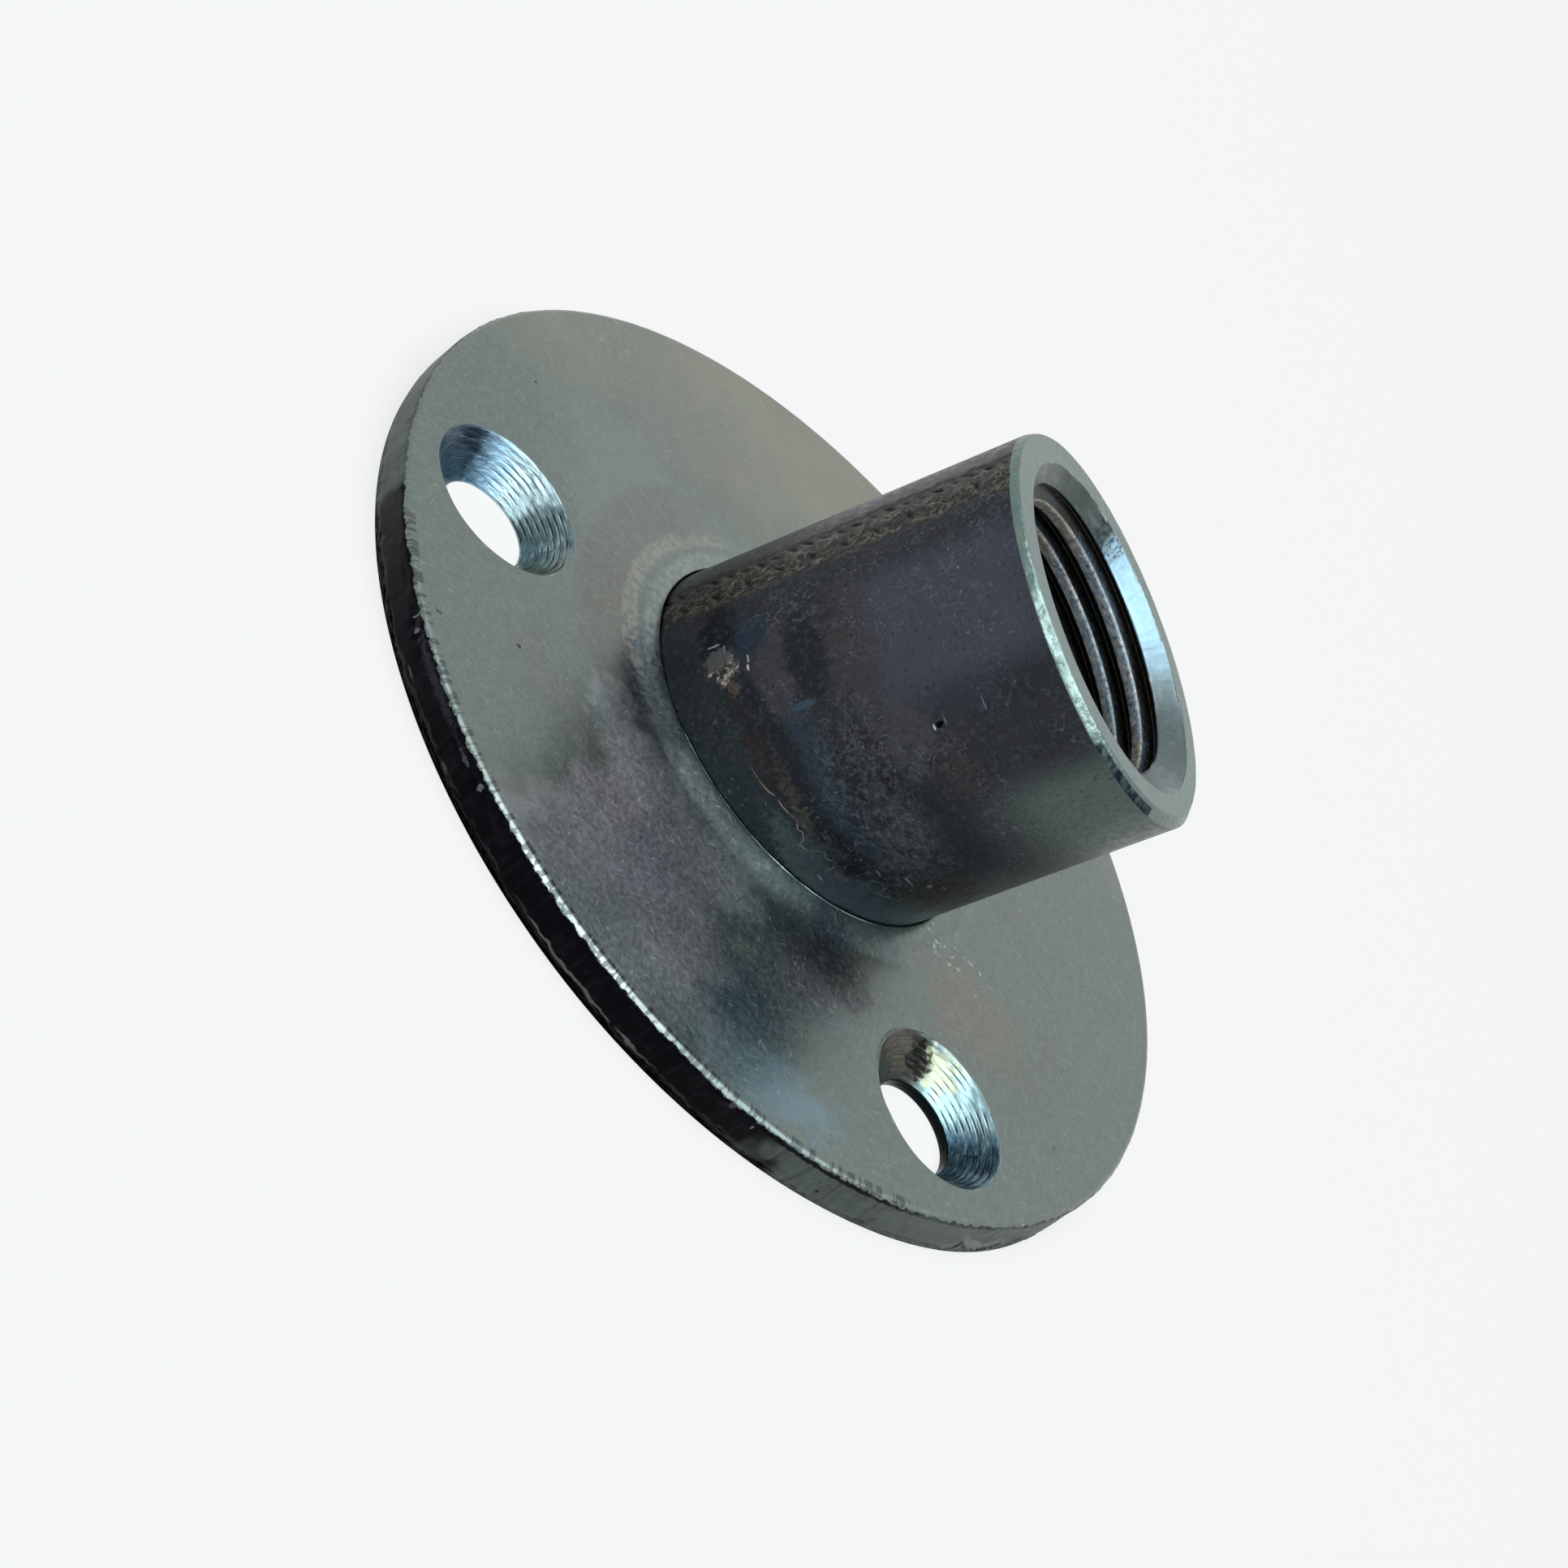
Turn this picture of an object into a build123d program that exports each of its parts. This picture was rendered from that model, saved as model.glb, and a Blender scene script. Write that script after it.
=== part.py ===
from build123d import *

import os
from math import cos, radians, sin, tan

# Angle flange: a round steel plate that is screwed to a wall, with a short threaded pipe socket
# welded on at a slant. The plate's back face lies on z = 0 with its centre at the origin, +Z points
# out of the front face, and the socket leans towards +X. Lengths are in millimetres and angles in
# degrees. The names that end in _diameter, _width and so on are the sizes to change.

# Plate, a disc punched out of sheet: its front edge is rolled over and its back edge is torn
plate_diameter = 70.0
plate_thickness = 3.0
rolled_edge_width = 0.8
rolled_edge_depth = 0.4
torn_band_height = 0.6
torn_band_inset = 0.15

# Countersunk screw holes, the first one on the side that the socket leans away from
screw_circle_diameter = 54.0
screw_hole_count = 3
screw_hole_diameter = 6.6
first_screw_hole_direction = 180.0
countersink_diameter = 11.2
countersink_angle = 90.0

# Socket, turned from thick-walled tube and sunk a little way into the plate
socket_lean = 15.0
socket_diameter = 26.9
socket_reach = 22.2
socket_sink = 1.2
seat_clearance = 0.06
mouth_chamfer = 0.45

# Inside of the socket: raw tube, a bore cut for a G 1/2 thread, and a countersunk mouth
raw_bore_diameter = 17.9
thread_minor_diameter = 18.631
thread_depth = 18.0
drill_point_angle = 118.0
mouth_countersink_diameter = 22.6
mouth_countersink_angle = 110.0

# Ring of plate metal that the weld pushed up round the socket's root
root_ring_width = 2.8
root_ring_height = 0.3
root_ring_crest_width = 0.4
root_ring_crest_radius = 0.15

# Hole punched in the plate behind the socket's bore
passage_diameter = 18.6

# How far every cutter runs past the face that it starts from
cutter_overrun = 1.0

lean = radians(socket_lean)
socket_radius = socket_diameter / 2
seat_floor_height = plate_thickness - socket_sink
axis_at_seat_floor = -socket_sink * tan(lean)
socket_plane = Plane(
    origin=(0, 0, plate_thickness),
    x_dir=(cos(lean), 0, -sin(lean)),
    z_dir=(sin(lean), 0, cos(lean)),
)


def cone_length(wide_diameter, narrow_diameter, full_angle):
    """Axial length of a cone between two diameters."""
    return (wide_diameter - narrow_diameter) / 2 / tan(radians(full_angle / 2))


def punched_disc():
    """The blank: sheared rim, with the front edge rolled over and the back edge torn inwards."""
    radius = plate_diameter / 2
    roll_start = plate_thickness - rolled_edge_depth
    face_edge = radius - rolled_edge_width
    rim = Polyline(
        (0, 0),
        (radius - torn_band_inset, 0),
        (radius, torn_band_height),
        (radius, roll_start),
    )
    face = Polyline((0, 0), (0, plate_thickness), (face_edge, plate_thickness))
    rolled_edge = TangentArc((face_edge, plate_thickness), (radius, roll_start), tangent=(1, 0))
    section = Plane.XZ * make_face(rim + face + rolled_edge)
    return revolve(section, Axis.Z)


def root_ring():
    """Low ring with a sloping flank, as wide all round as the slanted socket's outline is."""
    long_radius = socket_radius / cos(lean)
    base = Pos(0, 0, plate_thickness) * Ellipse(
        long_radius + root_ring_width, socket_radius + root_ring_width
    )
    crest = Pos(root_ring_height * tan(lean), 0, plate_thickness + root_ring_height) * Ellipse(
        long_radius + root_ring_crest_width, socket_radius + root_ring_crest_width
    )
    return loft([base, crest])


def socket_seat():
    """Cutter for the pocket that the socket's foot sits in, slanted as the socket is."""
    seat_radius = socket_radius + seat_clearance
    reach_down = (socket_sink + seat_radius * sin(lean)) / cos(lean) + cutter_overrun
    reach_up = (root_ring_height + seat_radius * sin(lean)) / cos(lean) + cutter_overrun
    slanted = socket_plane * Pos(0, 0, -reach_down) * Cylinder(
        seat_radius, reach_down + reach_up, align=(Align.CENTER, Align.CENTER, Align.MIN)
    )
    return split(slanted, Plane.XY.offset(seat_floor_height), Keep.TOP)


def countersunk_hole():
    """Cutter for one screw hole, with its wide end at the plate's front face."""
    depth = cone_length(countersink_diameter, screw_hole_diameter, countersink_angle)
    spread = cutter_overrun * tan(radians(countersink_angle / 2))
    shank = Cylinder(screw_hole_diameter / 2, 2 * (plate_thickness + cutter_overrun))
    head = Pos(0, 0, plate_thickness - depth) * Cone(
        screw_hole_diameter / 2,
        countersink_diameter / 2 + spread,
        depth + cutter_overrun,
        align=(Align.CENTER, Align.CENTER, Align.MIN),
    )
    return shank + head


def flange_plate():
    """The punched disc with its root ring, socket seat, passage and screw holes."""
    plate = punched_disc() + root_ring() - socket_seat()
    crest_edges = plate.edges().group_by(Axis.Z)[-1].sort_by(SortBy.LENGTH)
    plate = fillet(crest_edges[0], root_ring_crest_radius)
    plate -= Pos(axis_at_seat_floor, 0, 0) * Cylinder(passage_diameter / 2, 2 * plate_thickness)
    holes = PolarLocations(
        screw_circle_diameter / 2, screw_hole_count, start_angle=first_screw_hole_direction
    )
    return plate - [place * countersunk_hole() for place in holes]


def threaded_socket():
    """The turned socket, cut off level with the floor of its seat in the plate."""
    foot = -(socket_sink + socket_radius * sin(lean)) / cos(lean) - cutter_overrun
    raw_radius = raw_bore_diameter / 2
    thread_radius = thread_minor_diameter / 2
    mouth_cone = cone_length(
        mouth_countersink_diameter, thread_minor_diameter, mouth_countersink_angle
    )
    drill_cone = cone_length(thread_minor_diameter, raw_bore_diameter, drill_point_angle)
    thread_end = socket_reach - thread_depth
    outline = Polyline(
        (raw_radius, foot),
        (socket_radius, foot),
        (socket_radius, socket_reach - mouth_chamfer),
        (socket_radius - mouth_chamfer, socket_reach),
        (mouth_countersink_diameter / 2, socket_reach),
        (thread_radius, socket_reach - mouth_cone),
        (thread_radius, thread_end),
        (raw_radius, thread_end - drill_cone),
        close=True,
    )
    turned = revolve(Plane.XZ * make_face(outline), Axis.Z)
    return split(socket_plane * turned, Plane.XY.offset(seat_floor_height), Keep.TOP)


os.makedirs("parts", exist_ok=True)
export_step(flange_plate(), "parts/flange_plate.step")
export_step(threaded_socket(), "parts/threaded_socket.step")
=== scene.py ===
"""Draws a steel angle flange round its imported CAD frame.

A round plate, punched from sheet, stands for what is screwed to a wall, and a short socket with an
internal pipe thread is welded to it at a slant. Both are zinc plated. The classes hold their sizes
in millimetres and build their points in millimetres, and a mesh is scaled to metres when it is made.
The plate's back lies on z = 0, its centre is the origin, and the socket leans towards +X.
"""

from __future__ import annotations

import logging
import math
from collections.abc import Mapping, Sequence
from dataclasses import dataclass, replace
from enum import Enum
from functools import partial

import bmesh
import bpy
import numpy as np
from mathutils import Matrix, Vector
from mathutils.geometry import delaunay_2d_cdt

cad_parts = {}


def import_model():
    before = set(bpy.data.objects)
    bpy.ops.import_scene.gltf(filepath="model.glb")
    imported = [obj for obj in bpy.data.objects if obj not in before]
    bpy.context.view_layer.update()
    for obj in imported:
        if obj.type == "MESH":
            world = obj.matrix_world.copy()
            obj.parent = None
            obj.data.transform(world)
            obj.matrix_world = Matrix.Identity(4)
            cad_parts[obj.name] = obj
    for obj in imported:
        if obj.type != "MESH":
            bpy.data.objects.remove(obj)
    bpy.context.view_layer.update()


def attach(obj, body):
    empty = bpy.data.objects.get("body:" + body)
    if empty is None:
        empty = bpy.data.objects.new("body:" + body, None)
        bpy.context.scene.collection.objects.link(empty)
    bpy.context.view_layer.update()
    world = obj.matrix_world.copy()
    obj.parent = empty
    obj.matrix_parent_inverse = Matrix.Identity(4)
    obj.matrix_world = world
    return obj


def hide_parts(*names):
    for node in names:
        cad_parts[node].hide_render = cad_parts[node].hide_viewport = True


LOG = logging.getLogger("angle_flange")

MM = 0.001
STRIP_MAP = "strip"
SOCKET_RADIUS = 13.45

# Where the rim is burst, in degrees round the plate, and degrees from there and heights of its crack.
BURST = -56.0
CRACK = (
    (-5.5, 0.2), (-4.4, 0.35), (-3.5, 1.32), (-2.0, 0.75), (-0.4, 0.58), (1.2, 0.3), (3.4, 1.08),
    (5.6, 0.72), (7.6, 1.0), (10.5, 0.8), (14.0, 0.3),
)

MATH = "ShaderNodeMath"
VECTOR_MATH = "ShaderNodeVectorMath"
MAP_RANGE = "ShaderNodeMapRange"
SPLIT = "ShaderNodeSeparateXYZ"

Array = np.ndarray
Socket = bpy.types.NodeSocket
Source = float | int | bool | Sequence[float] | Socket


def linear(colour: str) -> tuple[float, float, float, float]:
    """Turns an sRGB hex colour to the linear colour that a shader socket takes.

    Args:
        colour: Six hex digits with a leading hash.

    Returns:
        Linear red, green and blue, and an alpha of 1.
    """
    channels = []
    for start in (1, 3, 5):
        level = int(colour[start:start + 2], 16) / 255
        channels.append(level / 12.92 if level <= 0.04045 else ((level + 0.055) / 1.055) ** 2.4)
    return (channels[0], channels[1], channels[2], 1.0)


def add_node(
    tree: bpy.types.NodeTree,
    kind: str,
    inputs: Mapping[str | int, Source] | Sequence[Source] = (),
    **settings: object,
) -> bpy.types.NodeOutputs:
    """Adds one node with its settings, and sets or links its inputs.

    Args:
        tree: Node tree that the node goes in.
        kind: Blender's name of the node's type.
        inputs: Value or output socket for each input, in order or by the input's name or index.
        settings: Properties of the node itself, such as its operation.

    Returns:
        The new node's outputs.
    """
    made = tree.nodes.new(kind)
    for name, value in settings.items():
        setattr(made, name, value)
    given = inputs if isinstance(inputs, Mapping) else dict(enumerate(inputs))
    for key, value in given.items():
        if isinstance(value, Socket):
            tree.links.new(value, made.inputs[key])
        else:
            made.inputs[key].default_value = value
    return made.outputs


def eased(share: Array | float) -> Array | float:
    """Share from 0 to 1 with a soft start and a soft end."""
    return share * share * (3 - 2 * share)


@dataclass(frozen=True)
class Wobble:
    """A smooth random wave round a closed ring, the same on every run.

    Attributes:
        seed: Seed of the random heights that it passes through.
        waves: How many heights there are in one turn.
        size: How far it swings each way.
    """

    seed: int
    waves: int
    size: float = 1.0

    def row(self, number: int) -> Wobble:
        """The like wave of one row among several."""
        return replace(self, seed=self.seed + number)

    def at(self, turns: Array) -> Array:
        """Draws the wave.

        Args:
            turns: Fractions of a turn.

        Returns:
            Height of the wave at each of them.
        """
        heights = np.random.default_rng(self.seed).uniform(-1, 1, self.waves)
        place = turns * self.waves
        low = np.floor(place).astype(int)
        share = eased(place - low)
        first = heights[low % self.waves]
        second = heights[(low + 1) % self.waves]
        return self.size * (first * (1 - share) + second * share)


def bump(distance: Array, reach: float) -> Array:
    """Round hill that is 1 at a distance of 0 and falls to nothing about two reaches away."""
    return np.exp(-((distance / reach) ** 2))


def turn_gap(angles: Array, angle: float) -> Array:
    """Signed gap in degrees from an angle to each of some angles, the short way round."""
    return (angles - angle + 180) % 360 - 180


def within(points: Array, outline: Array) -> Array:
    """Tells which points lie inside a closed outline.

    Args:
        points: Flat points, one in each row.
        outline: Corners of the outline, one in each row.

    Returns:
        True for each point inside.
    """
    start, end = outline, np.roll(outline, -1, axis=0)
    height = points[:, 1:2]
    crosses = (start[:, 1] > height) != (end[:, 1] > height)
    rise = np.where(end[:, 1] == start[:, 1], 1.0, end[:, 1] - start[:, 1])
    crossing = start[:, 0] + (height - start[:, 1]) / rise * (end[:, 0] - start[:, 0])
    return (crosses & (points[:, 0:1] < crossing)).sum(axis=1) % 2 == 1


@dataclass(frozen=True)
class Ring:
    """A closed row of points in a patchwork.

    Attributes:
        start: Index of its first point.
        points: Its points in millimetres.
        around: Distance along the row at each point, and at the first point again.
        across: Distance across the rows at each point.
    """

    start: int
    points: Array
    around: Array
    across: Array

    @property
    def count(self) -> int:
        """How many points the row has."""
        return len(self.points)


class Patchwork:
    """Rows of points and the faces between them, from which one mesh is made."""

    def __init__(self) -> None:
        """Starts with no points."""
        self.points: list[Array] = []
        self.total = 0
        self.faces: list[list[int]] = []
        self.maps: list[list[tuple[float, float]]] = []
        self.finishes: list[int] = []
        self.smooth: list[bool] = []
        self.levels: dict[str, list[Array]] = {}

    def ring(self, points: Array, around: Array, across: Array | float) -> Ring:
        """Adds a closed row of points.

        Args:
            points: Points in millimetres, one row each.
            around: Distance along the row at each point, and at the first point again.
            across: Distance across the rows, for each point or for all.

        Returns:
            The row, for the calls that make faces.
        """
        made = Ring(self.total, points, around, np.broadcast_to(across, len(points)))
        self.points.append(points)
        self.total += len(points)
        return made

    def band(self, first: Ring, second: Ring, finish: int, smooth: bool = True) -> None:
        """Adds the faces between two rows with as many points each.

        Args:
            first: One row.
            second: The row beside it.
            finish: Index of the faces' material.
            smooth: Whether the faces shade as one round surface.
        """
        count = first.count
        for here in range(count):
            after = (here + 1) % count
            self.faces.append(
                [first.start + here, first.start + after, second.start + after, second.start + here]
            )
            self.maps.append(
                [
                    (first.around[here], first.across[here]),
                    (first.around[here + 1], first.across[after]),
                    (second.around[here + 1], second.across[after]),
                    (second.around[here], second.across[here]),
                ],
            )
            self.finishes.append(finish)
            self.smooth.append(smooth)

    def bands(self, rows: Sequence[Ring], finish: int, smooth: bool = True) -> None:
        """Adds the faces between each row and the next."""
        for first, second in zip(rows, rows[1:]):
            self.band(first, second, finish, smooth)

    def flat(self, outer: Ring, holes: Sequence[Ring], finish: int, plane: Array) -> None:
        """Fills a flat face between an outer row and the rows of its holes.

        Args:
            outer: Row round the face.
            holes: Rows round its holes.
            finish: Index of its material.
            plane: Two unit vectors in the face, one in each row.
        """
        corners: list[Vector] = []
        sources: list[int] = []
        edges: list[tuple[int, int]] = []
        for ring in (outer, *holes):
            first = len(corners)
            for step, place in enumerate(ring.points @ plane.T):
                corners.append(Vector(place))
                sources.append(ring.start + step)
                edges.append((first + step, first + (step + 1) % ring.count))
        inside_outline = 1
        closest = 1e-6
        filled, _, faces, origins, _, _ = delaunay_2d_cdt(corners, edges, [], inside_outline, closest)
        middles = np.array([[filled[corner][:] for corner in face] for face in faces]).mean(axis=1)
        kept = np.ones(len(faces), bool)
        for hole in holes:
            kept &= ~within(middles, hole.points @ plane.T)
        for face in [face for face, keep in zip(faces, kept) if keep]:
            inputs = [origins[corner][0] for corner in face]
            self.faces.append([sources[corner] for corner in inputs])
            self.maps.append([(corners[corner].x, corners[corner].y) for corner in inputs])
            self.finishes.append(finish)
            self.smooth.append(False)

    def absorb(self, mesh: bpy.types.Mesh, finish: int, place: Matrix) -> None:
        """Takes over a finished mesh in millimetres, with its map and its levels.

        Args:
            mesh: Mesh to take over.
            finish: Index of its material.
            place: Where it goes.
        """
        start = self.total
        points = np.empty(len(mesh.vertices) * 3)
        mesh.vertices.foreach_get("co", points)
        turned = points.reshape(-1, 3) @ np.array(place.to_3x3()).T + np.array(place.translation)
        self.points.append(turned)
        self.total += len(turned)
        layer = mesh.attributes[STRIP_MAP].data
        for polygon in mesh.polygons:
            self.faces.append([start + corner for corner in polygon.vertices])
            self.maps.append([tuple(layer[loop].vector) for loop in polygon.loop_indices])
            self.finishes.append(finish)
            self.smooth.append(True)
        for name in LEVELS:
            values = np.empty(len(mesh.vertices), np.float32)
            mesh.attributes[name].data.foreach_get("value", values)
            self.levels.setdefault(name, []).append((start, values))

    def piece(self, name: str, finishes: Sequence[bpy.types.Material]) -> bpy.types.Object:
        """Makes the mesh and its object, closed, with its faces pointing out.

        Args:
            name: Name of the object.
            finishes: Materials in the order of the faces' indices.

        Returns:
            The object, linked to the scene.
        """
        mesh = bpy.data.meshes.new(name)
        mesh.from_pydata((np.concatenate(self.points) * MM).tolist(), [], self.faces)
        layer = mesh.uv_layers.new(name=STRIP_MAP)
        layer.uv.foreach_set("vector", np.array([at for face in self.maps for at in face]).ravel())
        mesh.polygons.foreach_set("material_index", self.finishes)
        mesh.polygons.foreach_set("use_smooth", self.smooth)
        for level, parts in self.levels.items():
            values = np.zeros(self.total, np.float32)
            for start, part in parts:
                values[start:start + len(part)] = part
            mesh.attributes.new(level, "FLOAT", "POINT").data.foreach_set("value", values)
        for finish in finishes:
            mesh.materials.append(finish)
        shape = bmesh.new()
        shape.from_mesh(mesh)
        touching = 0.0005 * MM
        bmesh.ops.remove_doubles(shape, verts=shape.verts, dist=touching)
        bmesh.ops.dissolve_degenerate(shape, edges=shape.edges, dist=touching)
        bmesh.ops.recalc_face_normals(shape, faces=shape.faces)
        open_edges = sum(not edge.is_manifold for edge in shape.edges)
        shape.to_mesh(mesh)
        shape.free()
        made = bpy.data.objects.new(name, mesh)
        bpy.context.scene.collection.objects.link(made)
        LOG.info("%s: %d faces, %d open edges", name, len(mesh.polygons), open_edges)
        return made


LEVELS = ("groove", "cone", "burr")
PRESSED = "pressed"


@dataclass(frozen=True)
class Nick:
    """A mark struck into the plate's front edge.

    Attributes:
        direction: Where it lies round the plate, in degrees.
        width: How far it reaches each way along the edge.
        depth: How deep it is, or below 0 for a raised bead.
        height: Height on the rim at its middle.
        reach: How far it reaches up and down from there.
    """

    direction: float
    width: float
    depth: float
    height: float
    reach: float

    def press(self, along: Array, height: float) -> Array:
        """How deep it is at places along the edge, at one height."""
        beside, over = bump(along, self.width), bump(np.full(1, height - self.height), self.reach)
        return self.depth * beside * over


@dataclass
class FlangePlate:
    """The punched plate with its countersunk holes and the ring round the socket's root."""

    diameter: float = 70.0
    thickness: float = 3.0
    roll_width: float = 0.5
    roll_depth: float = 0.4
    torn_height: float = 0.6
    torn_inset: float = 0.15
    screw_circle: float = 54.0
    hole_diameter: float = 6.6
    countersink_diameter: float = 11.2
    first_hole: float = 180.0
    hole_count: int = 3
    # The socket's seat, and the ring of metal pushed up round it with its lip.
    socket_diameter: float = 26.9
    lean: float = 15.0
    seat_clearance: float = 0.06
    seat_depth: float = 1.2
    ring_width: float = 2.8
    ring_height: float = 0.3
    ring_crest: float = 0.4
    ring_crest_radius: float = 0.15
    lip_height: float = 0.06
    lip_reach: float = 0.055
    lip_direction: float = -103.0
    lip_spread: float = 42.0
    passage_diameter: float = 18.6
    sink_lands: tuple[float, ...] = (0.15, 0.7, 0.7)
    # Where the rim swells and has cracked.
    burst_direction: float = BURST
    burst_spread: float = 19.0
    burst_height: float = 1.6
    burst_reach: float = 0.3
    crack_step: float = 0.12
    crack_fade: float = 0.1
    # How finely the rim is divided, and the wear of its rolled edge.
    rim_columns: int = 1440
    roll_rows: int = 10
    sheared_rows: int = 15
    torn_rows: int = 9
    roll_waves: tuple[Wobble, ...] = (Wobble(11, 260), Wobble(12, 700, 0.6))
    roll_bias: float = 0.4
    roll_push: float = 0.022
    roll_sag: float = 0.014
    roll_reach: float = 0.3
    teeth: Wobble = Wobble(15, 480)
    teeth_direction: float = -127.0
    teeth_spread: float = 38.0
    teeth_fade: float = 6.0
    teeth_push: float = 0.035
    teeth_sag: float = 0.03
    # The torn band at the back of the rim.
    tear_line: tuple[Wobble, ...] = (Wobble(13, 90, 0.16), Wobble(14, 330, 0.1))
    tear_fade: float = 0.12
    tear_inset: float = 0.045
    tear_grain: tuple[Wobble, ...] = (Wobble(40, 620, 0.05), Wobble(90, 190, 0.04))
    # The burr round each countersink, and the chatter in it.
    hole_columns: int = 120
    burr: Wobble = Wobble(200, 23, 0.03)
    burr_height: float = 0.03
    burr_profile: tuple[tuple[float, float], ...] = ((0.22, 0.0), (0.1, 0.6), (0.03, 1.0))
    sink_edge: Wobble = Wobble(210, 17, 0.03)
    sink_rows: int = 44
    chatter_pitch: float = 0.42
    chatter_depth: float = 0.024
    chatter_fade: float = 8.0
    chatter_phase: Wobble = Wobble(220, 9)
    phase_share: float = 0.35
    chatter_strength: Wobble = Wobble(230, 11, 0.5)
    first_hole_shift: tuple[float, float] = (0.25, 0.28)
    first_sink_shift: tuple[float, float] = (-0.15, -0.14)
    sink_shift: tuple[float, float] = (0.0, 0.1)
    hole_rows: tuple[float, ...] = (0.25, 0.6, 1.0)
    # How uneven the ring, its crest and its lip are.
    ring_columns: int = 480
    ring_edge: tuple[Wobble, ...] = (Wobble(301, 14, 0.1), Wobble(302, 60, 0.05))
    ring_rows: int = 12
    ring_ease: float = 0.55
    ring_straight: float = 0.45
    ring_grain: Wobble = Wobble(310, 420, 0.010)
    ring_lumps: Wobble = Wobble(303, 40, 0.012)
    crest_rows: int = 9
    crest_uneven: Wobble = Wobble(330, 150, 0.012)
    crest_insets: tuple[float, ...] = (0.28, 0.23, 0.19)
    crest_step: float = 0.03
    seat_across: tuple[float, float] = (0.5, 1.5)
    lip_inset: float = 0.09
    lip_fade: float = 5.0
    lip_uneven: Wobble = Wobble(331, 90, 0.25)
    nicks: tuple[Nick, ...] = (
        Nick(-154.2, 0.5, 0.16, 2.45, 0.30),
        Nick(-153.0, 0.25, 0.12, 2.15, 0.35),
        Nick(-151.6, 0.3, 0.14, 2.30, 0.45),
        Nick(-149.6, 0.35, 0.10, 1.95, 0.30),
        Nick(-135.4, 0.4, 0.10, 2.30, 0.30),
        Nick(-96.3, 0.35, -0.10, 2.70, 0.30),
        Nick(-51.4, 0.25, 0.16, 2.80, 0.25),
    )

    def build(self, finishes: Sequence[bpy.types.Material]) -> bpy.types.Object:
        """Builds the plate as one closed mesh.

        Args:
            finishes: Materials of the sheet and of the countersinks.

        Returns:
            The plate's object.
        """
        patch = Patchwork()
        face, cut = range(2)
        rim_rows = self._rim(patch)
        patch.bands(rim_rows, face)
        hole_rows = [self._hole(patch, number) for number in range(self.hole_count)]
        burr_rows = 3
        for rows in hole_rows:
            patch.bands(rows[:burr_rows], face)
            patch.bands(rows[burr_rows - 1:], cut)
        ring_rows = self._root_ring(patch)
        patch.bands(ring_rows, face)
        passage_rows = self._passage(patch)
        patch.bands(passage_rows, face)
        level = np.array([[1.0, 0, 0], [0, 1.0, 0]])
        patch.flat(rim_rows[0], [rows[0] for rows in hole_rows] + [ring_rows[0]], face, level)
        patch.flat(rim_rows[-1], [rows[-1] for rows in hole_rows] + [passage_rows[-1]], face, level)
        patch.flat(ring_rows[-1], [passage_rows[0]], face, level)
        return patch.piece("flange_plate_body", finishes)

    def _rim_profile(self) -> list[tuple[float, float]]:
        """Works out the rim's section before wear.

        Returns:
            Distances from the plate's axis and heights, from the front face to the back face.
        """
        radius = self.diameter / 2
        rolled = (self.roll_width**2 + self.roll_depth**2) / (2 * self.roll_depth)
        steepest = math.asin(self.roll_width / rolled)
        profile = [
            (radius - self.roll_width + rolled * math.sin(tilt),
             self.thickness - rolled + rolled * math.cos(tilt))
            for tilt in np.linspace(0, steepest, self.roll_rows)
        ]
        below_roll = self.thickness - self.roll_depth
        sheared = np.linspace(below_roll, self.torn_height, self.sheared_rows)[1:]
        profile += [(radius, height) for height in sheared]
        profile += [
            (radius - self.torn_inset * (1 - height / self.torn_height), height)
            for height in np.linspace(self.torn_height, 0, self.torn_rows)[1:]
        ]
        return profile

    def _rim(self, patch: Patchwork) -> list[Ring]:
        """Adds the rows over the rolled edge and down the torn rim.

        Args:
            patch: Patchwork that the rows go in.

        Returns:
            The rows, from the front face to the back face.
        """
        degrees = np.linspace(0, 360, self.rim_columns, endpoint=False)
        turns, turn = degrees / 360, np.radians(degrees)
        radius = self.diameter / 2
        around = np.radians(np.linspace(0, 360, self.rim_columns + 1)) * radius
        profile = self._rim_profile()
        above_roll = self.thickness - self.roll_depth - self.roll_reach
        waviness = sum(wave.at(turns) for wave in self.roll_waves)
        tear_line = sum((wave.at(turns) for wave in self.tear_line), self.torn_height)
        off_burst = turn_gap(degrees, self.burst_direction)
        burst = bump(off_burst, self.burst_spread)
        crack_line = np.interp(off_burst, *zip(*CRACK))
        beyond = self.teeth_spread - np.abs(turn_gap(degrees, self.teeth_direction))
        toothed = np.clip(beyond / self.teeth_fade, 0, 1) * self.teeth.at(turns)
        rows = []
        across = 0.0
        for number, (distance, height) in enumerate(profile):
            if number:
                across += math.dist(profile[number - 1], (distance, height))
            out = np.full(self.rim_columns, float(distance))
            up = np.full(self.rim_columns, float(height))
            share = min(max((self.thickness - height) / self.roll_depth, 0), 1)
            if number and height >= above_roll:
                out -= share * (self.roll_push * (waviness + self.roll_bias) + self.teeth_push * toothed)
                up -= share * (self.roll_sag * waviness + self.teeth_sag * toothed)
            torn = np.clip((tear_line - height) / self.tear_fade, 0, 1) * (height > 0)
            out -= torn * sum((wave.row(number).at(turns) for wave in self.tear_grain), self.tear_inset)
            for nick in self.nicks if number else ():
                along = turn_gap(degrees, nick.direction) * math.pi / 180 * radius
                out -= nick.press(along, height)
            out += burst * self.burst_reach * max(1 - height / self.burst_height, 0)
            out += burst * self.crack_step * np.clip((crack_line - height) / self.crack_fade, 0, 1)
            points = np.stack([out * np.cos(turn), out * np.sin(turn), up], axis=1)
            rows.append(patch.ring(points, around, across))
        return rows

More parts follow.
